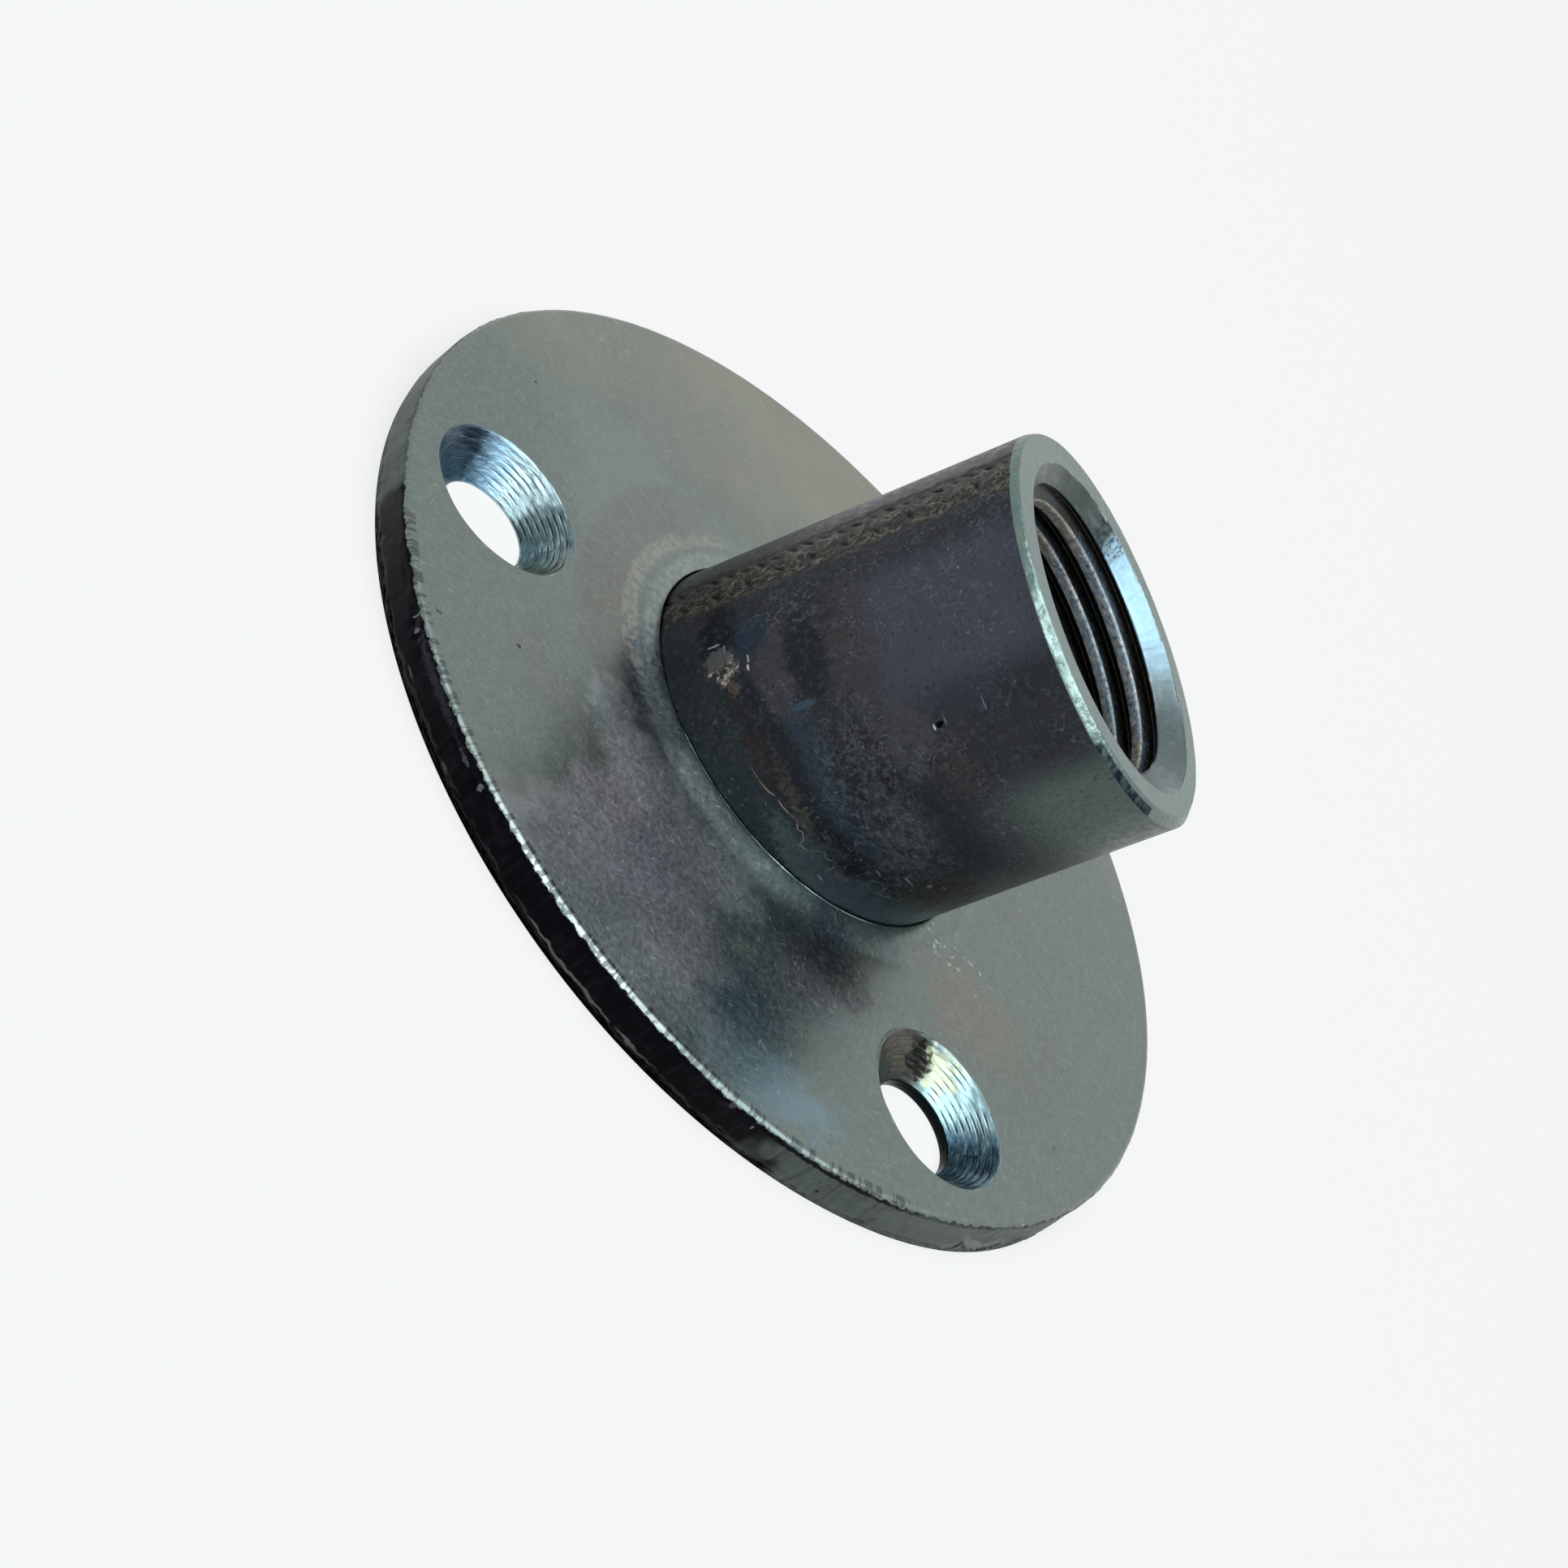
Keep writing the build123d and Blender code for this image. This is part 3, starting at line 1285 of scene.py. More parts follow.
    def spot(self, mark: Mark, chart: Chart) -> Socket:
        """Makes the mask of one oval mark.

        Args:
            mark: The mark.
            chart: What its centre is given in.

        Returns:
            The mask.
        """
        across, up = mark.centre
        where = self.place
        if chart is Chart.STRIP:
            across = self.around(across)
            where = self.strip
        flat = (1 / mark.reach[0], 1 / mark.reach[1], 0.0)
        scaled = self.add(
            VECTOR_MATH, (where, flat, (-across * flat[0], -up * flat[1], 0.0)), operation="MULTIPLY_ADD"
        )[0]
        distance = self.add(VECTOR_MATH, (scaled,), operation="LENGTH")["Value"]
        edge = 1.0
        if mark.ragged:
            size = max(min(mark.reach) * self.ragged_share, self.ragged_least)
            wander = self.patches(size, *self.ragged_range, 2 * mark.ragged, where)
            distance = self.add(MATH, (distance, wander), operation="ADD")[0]
            edge += mark.ragged
        fade = mark.soft / 2
        return self.add(
            MAP_RANGE,
            {"Value": distance, "From Min": edge + fade, "From Max": edge - fade, "To Max": mark.strength},
            interpolation_type="SMOOTHSTEP",
        )[0]

    def coat(self, colour: str, *masks: Socket) -> Layer:
        """Layer of a colour in the places that several masks share."""
        return (self.overlap(*masks), colour)

    def flecks(self, mask: Socket, colour: str, *pattern: float | Socket) -> Layer:
        """Layer of random patches inside a mask, with what patches takes after the colour."""
        return self.coat(colour, mask, self.patches(*pattern))

    def marks(self, marks: Sequence[Mark], chart: Chart) -> list[Layer]:
        """Layers of several marks."""
        return [(self.spot(mark, chart), mark.colour) for mark in marks]

    def off_course(self, around: Socket, up: Socket, course: Sequence[tuple[float, float]]) -> Socket:
        """Works out the height above a line that runs round the socket.

        Args:
            around: Distance round the strip.
            up: Height on it.
            course: Directions and heights that the line passes through.

        Returns:
            Height above the line.
        """
        first, last = self.around(course[0][0]), self.around(course[-1][0])
        share = self.add(MAP_RANGE, {"Value": around, "From Min": first, "From Max": last})[0]
        line = self.add("ShaderNodeFloatCurve", {"Value": share})[0]
        mapping = line.node.mapping
        curve = mapping.curves[0]
        curve.points[0].location = (0.0, course[0][1] / self.tallest)
        curve.points[-1].location = (1.0, course[-1][1] / self.tallest)
        for direction, height in course[1:-1]:
            place = (self.around(direction) - first) / (last - first)
            curve.points.new(place, height / self.tallest)
        for point in curve.points:
            point.handle_type = "VECTOR"
        mapping.update()
        height = self.add(MATH, (line, self.tallest), operation="MULTIPLY")[0]
        return self.add(MATH, (up, height), operation="SUBTRACT")[0]

    def scribble(self, size: float, thickness: float, strength: float, where: Socket) -> Socket:
        """Mask of thin wandering lines, drawn where a noise passes through its middle value."""
        noise = self.patches(size, *self.line_range, 1.0, where, 1.0)
        return self.between(noise, 0.5 - thickness, 0.5 + thickness, thickness, strength)

    def between(self, value: Socket, low: float, high: float, soft: float, strength: float = 1.0) -> Socket:
        """Makes a mask that is full while a value lies between two levels.

        Args:
            value: The value.
            low: The lower level.
            high: The upper level.
            soft: How far beyond each level the mask fades out.
            strength: How strong the full mask is.

        Returns:
            The mask.
        """
        middle = (low + high) / 2
        off = self.add(MATH, (value, middle), operation="SUBTRACT")[0]
        off = self.add(MATH, (off,), operation="ABSOLUTE")[0]
        half = (high - low) / 2
        return self.add(
            MAP_RANGE,
            {"Value": off, "From Min": half + soft, "From Max": half, "To Max": strength},
            interpolation_type="SMOOTHSTEP",
        )[0]

    def arc(self, around: Socket, first: float, last: float, soft: float, strength: float = 1.0) -> Socket:
        """Mask that is full between two directions round the strip, in degrees."""
        return self.between(around, self.around(first), self.around(last), soft, strength)

    def overlap(self, *masks: Socket) -> Socket:
        """Makes a mask of the places that several masks share.

        Args:
            masks: The masks.

        Returns:
            The shared mask.
        """
        shared = masks[0]
        for mask in masks[1:]:
            shared = self.add(MATH, (shared, mask), operation="MULTIPLY")[0]
        return shared

    def paint(self, base: str, layers: Sequence[Layer]) -> Socket:
        """Lays colours over a base colour, each one where its mask is full.

        Args:
            base: Colour under all the others.
            layers: Masks and their colours, the lowest first.

        Returns:
            The colour at each place.
        """
        # A mix of colours has them at inputs 6 and 7, and gives its result at output 2.
        colour: Source = linear(base)
        for mask, coat in layers:
            inputs = {0: mask, 6: colour, 7: linear(coat)}
            colour = self.add("ShaderNodeMix", inputs, data_type="RGBA")[2]
        return colour

    def level(self, base: float, steps: Sequence[tuple[Socket, float]]) -> Socket:
        """Adds to a base level what each mask gives where it is full.

        Args:
            base: Level where every mask is empty.
            steps: Masks, and how far each one moves the level.

        Returns:
            The level at each place.
        """
        total: Source = base
        for mask, step in steps:
            total = self.add(MATH, (mask, step, total), operation="MULTIPLY_ADD")[0]
        return total

    def shade(self, colour: Socket, roughness: Socket, height: Socket) -> bpy.types.Material:
        """Finishes the material as bare or plated metal.

        Args:
            colour: Colour of the metal's reflection.
            roughness: How matt it is.
            height: Relief in millimetres.

        Returns:
            The material.
        """
        relief = self.add("ShaderNodeBump", {"Strength": 1.0, "Distance": MM, "Height": height})[0]
        shader = self.add(
            "ShaderNodeBsdfPrincipled",
            {"Base Color": colour, "Metallic": 1.0, "Roughness": roughness, "Normal": relief},
        )
        self.add("ShaderNodeOutputMaterial", {"Surface": shader[0]})
        return self.material


@dataclass(frozen=True)
class PlatedSheet:
    """Bright zinc plating, passivated, on sheet punched to a disc.

    The eye sees a satin grey-green mirror with warm and bluish staining, fine handling scratches,
    and a sheared rim that is painted nearly black as shade on the side that faces the camera.
    Painted highlights lie along the lip of the ring round the socket and on the rim's torn line
    and nicks, painted shade lies on the rolled edge, and the face in front of the socket is
    painted paler as painted light and reflection.
    """

    metal: str = "#6B7773"
    warm: str = "#87897B"
    pink: str = "#6C6762"
    crust: str = "#A39F92"
    pale: str = "#9AA39D"
    pit: str = "#2C2F2E"
    lip: str = "#C2CED0"
    scratch: str = "#A4ADAA"
    rim_shade: str = "#0D0C10"
    rim_grey: str = "#4C5552"
    rolled: str = "#171A1C"
    tear_glint: str = "#595856"
    grain: float = 0.32
    scratch_width: float = 0.12
    socket_radius: float = SOCKET_RADIUS
    socket_stretch: float = 1.0353
    rim_radius: float = 35.0
    roll_height: float = 2.82
    # Side of the rim that is painted nearly black as shade, in degrees round the plate.
    shaded_side_direction: float = -129.5
    back_levels: tuple[float, float] = (-1.0, 0.005)
    stains_and_painted_light: tuple[Mark, ...] = (
        Mark((-17, 10), (9, 7), "#76837F", 0.8, 0.4, 0.9),
        Mark((-16.3, 24), (9, 6), "#7A7D78", 0.7, 0.4, 0.9),
        Mark((-28.5, 6), (6, 9), "#66726E", 0.6, 0.3, 0.9),
        Mark((-14.6, -6.2), (1.8, 4.6), "#485B6C", 0.9, 0.3, 0.9),
        Mark((2.7, -15.3), (2, 1.2), "#4C5F76", 0.8, 0.3, 0.8),
        Mark((-15.1, -5.2), (1.5, 2.8), "#33414E", 0.8, 0.3, 0.8),
        Mark((-12, -9.8), (1.5, 1.7), "#475761", 0.75, 0.3, 0.8),
        Mark((8, -13.2), (1.8, 1.3), "#586769", 0.7, 0.3, 0.8),
        Mark((-3.4, -27.2), (4, 3.4), "#5C7480", 0.9, 0.3, 1),
        Mark((-2, -31.5), (6, 2.4), "#708D99", 0.85, 0.3, 1),
        # Painted reflection: the pale marks from here to (-16.6, -11) paint a lit reflection of the socket
        # onto the face in front of it.
        Mark((-15.5, -26.5), (7, 6), "#B2B9BC", 0.7, 0.4, 1),
        Mark((-11, -30.5), (4.4, 2.8), "#A9B1B5", 0.6, 0.4, 1),
        Mark((-13, -20), (4.8, 5.2), "#BAB4BC", 0.85, 0.4, 1),
        Mark((-7, -17.6), (3.8, 4), "#C4C8C6", 0.9, 0.35, 1),
        Mark((-9, -24.5), (3.4, 4.4), "#BBBEC2", 0.6, 0.35, 1),
        Mark((-12.6, -14), (3.2, 3), "#C4C5C9", 0.85, 0.4, 1),
        Mark((-16.6, -11), (1.8, 2.4), "#A2ACB0", 0.7, 0.4, 1),
        Mark((3.6, -18.6), (3, 2.3), "#4A4E54", 0.8, 0.4, 0.9),
        Mark((1, -22.6), (3.6, 3), "#7A8388", 0.6, 0.4, 0.9),
        Mark((16.6, -12.6), (4.4, 3.6), "#79736A", 0.6, 0.5, 0.9),
        Mark((-24.2, -12.1), (0.17, 0.15), "#2C2F2E", 1),
        Mark((-30.2, -14.5), (0.22, 0.13), "#2C2F2E"),
        Mark((-26.8, 13.4), (0.14, 0.12), "#343736"),
        Mark((24.4, -19), (0.14, 0.12), "#3A3D3C", 0.8),
    )
    rim_marks_and_glints: tuple[Mark, ...] = (
        Mark((-188, 1.3), (4, 1.6), "#454C4A", 0.7, 0.4, 0.9),
        Mark((-66, 1.5), (5, 1.6), "#5C6562", 0.6, 0.4, 0.9),
        Mark((-45, 1.3), (4.5, 1.8), "#3D4442", 0.8, 0.4, 0.9),
        Mark((-181.2, 2.3), (0.12, 0.3), "#1A1B1B"),
        Mark((-165.2, 0.9), (0.06, 0.25), "#4C4C50", 0.9, 0.2),
        # Painted glints: this mark and the next paint the light that the nicks there catch.
        Mark((-153.8, 2.5), (0.09, 0.35), "#6C6F77"),
        Mark((-152.2, 2.2), (0.16, 0.2), "#6E7078", 0.9, 0.5),
        Mark((-146, 2.4), (3.4, 0.28), "#2F3038", 0.8, 0.5, 0.8),
        Mark((-148.6, 0.9), (0.5, 0.1), "#47474A", 0.9, 0.4),
        Mark((-137.9, 2.25), (0.5, 0.14), "#454B54", 0.9, 0.5),
        Mark((-134.6, 2.35), (0.2, 0.26), "#64686F", 0.9, 0.4),
        Mark((-138.4, 0.7), (0.4, 0.12), "#454543", 0.9, 0.4),
        Mark((-95.6, 2.68), (0.2, 0.26), "#45404C", 0.9, 0.2),
        Mark((-92.4, 2.3), (0.07, 0.15), "#6A6E74"),
        Mark((-81.4, 1.05), (0.12, 0.16), "#16181A", 0.9, 0.5),
        Mark((-51.4, 2.8), (0.12, 0.16), "#B5BABA"),
        Mark((-52, 2.6), (0.12, 0.25), "#1C1F20"),
    )

    def build(self) -> bpy.types.Material:
        """Makes the material.

        Returns:
            The material.
        """
        canvas = Canvas("zinc_plated_punched_sheet")
        height = canvas.add(SPLIT, (canvas.place,))["Z"]
        outline = canvas.stretched(canvas.place, (1 / self.socket_stretch, 1.0, 0.0))
        away = canvas.add(VECTOR_MATH, (outline,), operation="LENGTH")["Value"]
        scratches = [
            canvas.streaks(self.scratch_width, 1.2, turn, 0.67, 0.75, 0.25) for turn in (75, 20, 130)
        ]
        scuffed = canvas.spot(Mark((-5.0, -18.5), (17.0, 8.0), self.pale, 0.6, 0.3, 0.8), Chart.FACE)
        gap = canvas.spot(Mark((-9.0, -23.5), (8.0, 8.5), self.pale, 1.0, 0.2, 1.0), Chart.FACE)
        layers = self._tints(canvas)
        layers += self._weld_bands(canvas, away)
        back = canvas.between(height, *self.back_levels, 0.01)
        layers.append((back, self.metal))
        layers += [
            (canvas.patches(self.grain, 0.35, 0.7, 0.35), "#828B87"),
            canvas.coat("#B4BAB8", scuffed, canvas.streaks(0.11, 0.6, 100, 0.6, 0.7, 0.6)),
            canvas.coat("#3A3F43", scuffed, canvas.streaks(0.13, 0.5, 60, 0.58, 0.7, 0.6)),
        ]
        layers += [(mask, self.scratch) for mask in scratches]
        layers.append((canvas.patches(0.5, 0.79, 0.82, 0.6), self.pit))
        rim, rim_layers = self._rim(canvas, height)
        colour = canvas.paint(self.metal, layers + rim_layers)
        roughness = canvas.level(
            0.23,
            [
                (canvas.patches(self.grain, 0.3, 0.7), 0.07),
                (canvas.patches(9.0, 0.35, 0.65), 0.05),
                (gap, 0.03),
                *((mask, 0.5) for mask in scratches),
                (rim, 0.2),
            ],
        )
        relief = canvas.level(
            0.0,
            [
                (canvas.patches(2.4, 0.2, 0.8), 0.003),
                (canvas.patches(0.4, 0.2, 0.8), 0.0014),
                *((mask, -0.003) for mask in scratches),
            ],
        )
        return canvas.shade(colour, roughness, relief)

    def _tints(self, canvas: Canvas) -> list[Layer]:
        """Lays the passivation's colouring and the staining on the front face, with pale marks in front of
        the socket painted as a lit reflection of it.

        Args:
            canvas: Canvas of the material.

        Returns:
            Their layers.
        """
        upward = canvas.add(VECTOR_MATH, (canvas.place, (0.05, 1.0, 0.0)), operation="DOT_PRODUCT")["Value"]
        wander = canvas.patches(13.0, 0.3, 0.7, 12.0)
        upward = canvas.add(MATH, (upward, wander), operation="ADD")[0]
        warm = canvas.between(upward, 34.0, 90.0, 18.0, 0.9)
        layers = [(warm, self.warm), (canvas.patches(6.0, 0.45, 0.75, 0.3), self.pink)]
        return layers + canvas.marks(self.stains_and_painted_light, Chart.FACE)

    def _weld_bands(self, canvas: Canvas, away: Socket) -> list[Layer]:
        """Lays the bands and specks that the weld left round the socket's root, a painted highlight along
        the ring's lip, and painted light that pales the ring in front of the socket.

        Args:
            canvas: Canvas of the material.
            away: Distance from the socket's axis.

        Returns:
            Their layers.
        """
        between, spot, coat = canvas.between, canvas.spot, canvas.coat
        root = self.socket_radius
        left = spot(Mark((-16.0, 4.0), (8.0, 12.0), self.pink, 0.9, 0.2, 0.8), Chart.FACE)
        lip_highlight = spot(Mark((-1.0, -13.6), (11.5, 4.6), self.lip, 1.0, 0.1, 0.4), Chart.FACE)
        front_painted_light = spot(Mark((-5.8, -13.5), (6.4, 6.0), self.pale, 1.0, 0.3, 0.8), Chart.FACE)
        dull_lip = spot(Mark((-8.6, -10.9), (5.0, 3.8), self.pit, 0.92, 0.0, 0.3), Chart.FACE)
        specks = spot(Mark((14.5, -8.9), (2.8, 1.8), self.pale, 1.0, 0.5, 0.8), Chart.FACE)
        edge_specks = spot(Mark((-21.5, 25.0), (3.0, 2.0), self.pale, 1.0, 0.5, 0.8), Chart.FACE)
        grains = canvas.patches(0.45, 0.35, 0.65, 0.55)
        dots = canvas.patches(0.45, 0.58, 0.66)
        return [
            coat(self.pink, left, between(away, root + 3.2, root + 6.0, 1.6, 0.55)),
            coat(self.crust, left, between(away, root + 1.9, root + 2.9, 0.35), grains),
            coat(self.pale, left, between(away, root + 0.3, root + 1.2, 0.4), grains),
            (between(away, root + 1.3, root + 1.8, 0.3, 0.35), "#5A6362"),
            # Painted light: these two layers pale the ring in front of the socket, where the socket's dark
            # reflection falls.
            coat("#A9B5B0", front_painted_light, between(away, root, root + 2.4, 1.2, 0.8)),
            coat("#C9D2CE", front_painted_light, between(away, root, root + 3.6, 0.5, 0.8), dots),
            # Painted highlight: a pale line along the lip of the ring in front of the socket.
            canvas.coat(
                "#949EA2", lip_highlight, between(away, root, root + 0.3, 0.08), canvas.patches(1.3, 0.4, 0.62)
            ),
            coat("#303839", dull_lip, between(away, root - 0.2, root + 0.24, 0.06)),
            coat("#A6AAA1", specks, dots),
            coat("#8C8F86", edge_specks, dots),
        ]

    def _rim(self, canvas: Canvas, height: Socket) -> tuple[Socket, list[Layer]]:
        """Lays the colours of the sheared rim, with painted shade on the side that faces the camera and on
        its rolled edge, and painted glints on its torn line and nicks.

        Args:
            canvas: Canvas of the material.
            height: Height above the plate's back.

        Returns:
            Mask of the rim, and its layers.
        """
        patches, overlap, between, coat = canvas.patches, canvas.overlap, canvas.between, canvas.coat
        arc, flecks = canvas.arc, canvas.flecks
        level = canvas.stretched(canvas.place, (1.0, 1.0, 0.0))
        radius = canvas.add(VECTOR_MATH, (level,), operation="LENGTH")["Value"]
        outward = canvas.add(VECTOR_MATH, (level,), operation="NORMALIZE")[0]
        turn = math.radians(self.shaded_side_direction)
        toward_shaded_side = canvas.add(
            VECTOR_MATH, (outward, (math.cos(turn), math.sin(turn), 0.0)), operation="DOT_PRODUCT"
        )["Value"]
        canvas.unroll(self.rim_radius)
        drawn = canvas.stretched(canvas.strip, (1.0, 0.12, 1.0))
        around = canvas.add(SPLIT, (canvas.strip,))["X"]
        ragged = patches(3.0, 0.2, 0.8, 0.1, canvas.strip)
        toward_shaded_side = canvas.add(MATH, (toward_shaded_side, ragged), operation="ADD")[0]
        edge = patches(0.5, 0.25, 0.75, 0.2, canvas.strip, 3.0)
        edge = canvas.add(MATH, (height, edge), operation="ADD")[0]
        outside = between(radius, 34.3, 37.0, 0.1)
        rim = overlap(between(edge, -1.0, self.roll_height + 0.06, 0.04), outside)
        # Painted shade: the rim is painted nearly black on the side that faces the camera.
        dark = overlap(rim, between(toward_shaded_side, 0.83, 2.0, 0.06))
        tear_edge = patches(0.9, 0.3, 0.7, 0.24, canvas.strip, 3.0)
        torn = canvas.add(MATH, (height, tear_edge), operation="ADD")[0]
        lit = overlap(arc(around, -121, -106, 2.0), patches(1.2, 0.3, 0.5, 1.0, canvas.strip))
        dull = overlap(arc(around, -149, -90, 2.5, 0.22), patches(1.0, 0.45, 0.6, 1.0, canvas.strip))
        under_lip = arc(around, -92, -60, 3.0)
        lit_roll_arc = overlap(arc(around, -165, -72, 2.0), outside)
        crack = [(BURST + direction, up) for direction, up in CRACK]
        off_crack = canvas.off_course(around, torn, crack)
        cracked = overlap(arc(around, -61.3, -42.5, 0.3), outside)
        marks = canvas.marks(self.rim_marks_and_glints, Chart.STRIP)
        return rim, [
            (rim, self.rim_grey),
            flecks(rim, "#646E6A", 1.0, 0.4, 0.7, 0.35, drawn),
            flecks(rim, "#2E3333", 0.4, 0.5, 0.75, 0.4, canvas.strip),
            coat("#242929", rim, canvas.scribble(3.0, 0.03, 0.4, drawn)),
            # Painted shade: a dark band just under the rolled edge, between -92 and -60 degrees.
            coat(self.rolled, rim, under_lip, between(edge, 2.66, 2.95, 0.06)),
            (dark, self.rim_shade),
            flecks(dark, "#3C3C42", 0.4, 0.45, 0.75, 0.12, drawn),
            flecks(dark, "#2C2C36", 0.8, 0.5, 0.75, 0.2, canvas.strip),
            coat("#050506", rim, between(torn, -1.0, 0.6, 0.1), dark),
            # Painted highlight: the torn line is painted paler where it catches the lamp, fully on the lit
            # arc and faintly on the dull arc.
            coat(self.tear_glint, rim, between(torn, 0.8, 0.92, 0.07), lit),
            coat(self.tear_glint, rim, between(torn, 0.8, 0.92, 0.07), dull),
            # Painted shade: darker patches on top of the rolled edge, on the side facing the camera, break
            # up its highlight.
            coat(
                "#454C4D",
                lit_roll_arc,
                between(edge, 2.9, 3.15, 0.03),
                patches(0.35, 0.48, 0.56, 0.8, canvas.strip),
            ),
            coat("#0C0E0E", cracked, between(off_crack, -0.2, 0.05, 0.04)),
            coat("#8A938F", cracked, between(off_crack, 0.12, 0.5, 0.2, 0.5)),
        ] + [coat(colour, rim, mask) for mask, colour in marks]


@dataclass(frozen=True)
class CutCountersink:
    """Zinc over a countersink cut with a chattering tool.

    The eye sees blue-white facets on steel-blue, in rings as far apart as the tool's chatter.
    Each chatter step is painted with a highlight on one side and shade on the other, pale
    painted highlights lie on the side of each countersink that faces the lamp, and the wall of
    the hole at (13.5, -23.4) is painted almost black as shade.
    """

    metal: str = "#62777D"
    bright: str = "#A3BDBF"
    dark: str = "#33444C"
    line: str = "#141E24"
    wall_start: float = 3.25
    step: float = 0.42
    land_shade: Mark = Mark((13.5, -23.4), (6.5, 6.5), "#15191A", 1.0, 0.0, 0.2)
    smooth: tuple[Mark, ...] = (
        Mark((-30.5, 2), (4, 4.4), "#33444C", 0.75, 0.3, 0.7),
        Mark((11.2, -20.6), (3.4, 3.4), "#3C3A34", 0.8, 0.3, 0.4),
    )
    tints_and_highlights: tuple[Mark, ...] = (
        # The pale marks at (-25.8, 3.9), (-27.8, 4), (15, -20.2) and (14, -18.8), on the side of each
        # countersink that faces the lamp, are painted highlights; the others are the plating's colouring.
        Mark((-25.8, 3.9), (3.2, 2.2), "#A9C3CA", 0.95, 0.3, 0.7),
        Mark((-31, 2), (3.9, 4.2), "#4A6072", 0.95, 0.3, 0.6),
        Mark((-27.8, 4), (1.4, 1.7), "#8CB2CC", 0.85, 0.4, 0.7),
        Mark((-23.2, 2.3), (1.3, 1.1), "#4A5D60", 0.8, 0.3, 0.7),
        Mark((-23.4, -2.8), (3.2, 2.6), "#7E9189", 0.9, 0.3, 0.7),
        Mark((-22.2, -4.2), (1.5, 2.8), "#857B6A", 0.9, 0.3, 0.7),
        Mark((15, -20.2), (2.2, 2), "#8CABAE", 0.9, 0.3, 0.6),
        Mark((14, -18.8), (2, 1.1), "#A3A88C", 0.85, 0.4),
        Mark((11, -20.2), (3, 2.9), "#38352F", 0.97, 0.25, 0.3),
        Mark((10.2, -19.6), (1.8, 1.2), "#544E45", 0.8, 0.5, 0.6),
        Mark((12.6, -18.9), (0.9, 0.8), "#15120F", 0.9, 0.6, 0.4),
        Mark((10.4, -22.6), (1.8, 1.6), "#3A4648", 0.9, 0.3, 0.6),
        Mark((18.8, -25), (3.8, 3.6), "#587C8E", 0.95, 0.3, 0.6),
        Mark((14.5, -28.6), (4.5, 2.4), "#4A6070", 0.9, 0.3, 0.7),
    )

    def build(self) -> bpy.types.Material:
        """Makes the material.

        Returns:
            The material.
        """
        canvas = Canvas("zinc_plated_cut_countersink")
        patches = canvas.patches
        down = canvas.add(SPLIT, (canvas.strip,))["Y"]
        rings = canvas.stretched(canvas.strip, (0.08, 1.0, 0.0))
        strokes = canvas.stretched(canvas.strip, (0.2, 1.0, 0.0))
        turns = canvas.add(
            "ShaderNodeTexWave",
            {"Vector": rings, "Scale": 0.05 * math.tau / self.step, "Distortion": 2.5, "Detail": 2.0},
            bands_direction="Y",
            wave_profile="SAW",
        )["Fac"]
        shaded_ledge = canvas.between(turns, 0.8, 2.0, 0.12)
        lit_ledge = canvas.between(turns, -1.0, 0.18, 0.12)
        stepped = canvas.add(
            MATH,
            (1.0, canvas.level(0.0, [(canvas.spot(mark, Chart.FACE), 1.0) for mark in self.smooth])),
            operation="SUBTRACT",
        )[0]
        worn = canvas.overlap(stepped, patches(1.6, 0.38, 0.6, 1.0, canvas.strip))
        layers = canvas.marks(self.tints_and_highlights, Chart.FACE)
        layers += [
            canvas.flecks(stepped, self.bright, 0.35, 0.5, 0.7, 0.45, strokes),
            (patches(0.5, 0.55, 0.72, 0.45, strokes), self.dark),
            # Painted highlight on one side of each chatter step, and painted shade on the other.
            canvas.coat(self.bright, lit_ledge, worn, patches(1.2, 0.3, 0.6, 0.7)),
            canvas.coat(self.line, shaded_ledge, worn, patches(2.2, 0.25, 0.45, 0.9)),
            (canvas.scribble(0.9, 0.05, 0.3, strokes), self.line),
        ]
        # Painted shade: the wall of the hole at (13.5, -23.4) is painted almost black.
        wall = canvas.between(down, self.wall_start, 9.0, 0.05)
        wall = canvas.overlap(wall, canvas.spot(self.land_shade, Chart.FACE))
        layers.append((wall, self.land_shade.colour))
        roughness = canvas.level(0.26, [(patches(0.6, 0.3, 0.7, 1.0, strokes), 0.14)])
        relief = canvas.level(0.0, [(patches(0.3, 0.2, 0.8, 1.0, strokes), 0.03), (turns, 0.035)])
        return canvas.shade(canvas.paint(self.metal, layers), roughness, relief)


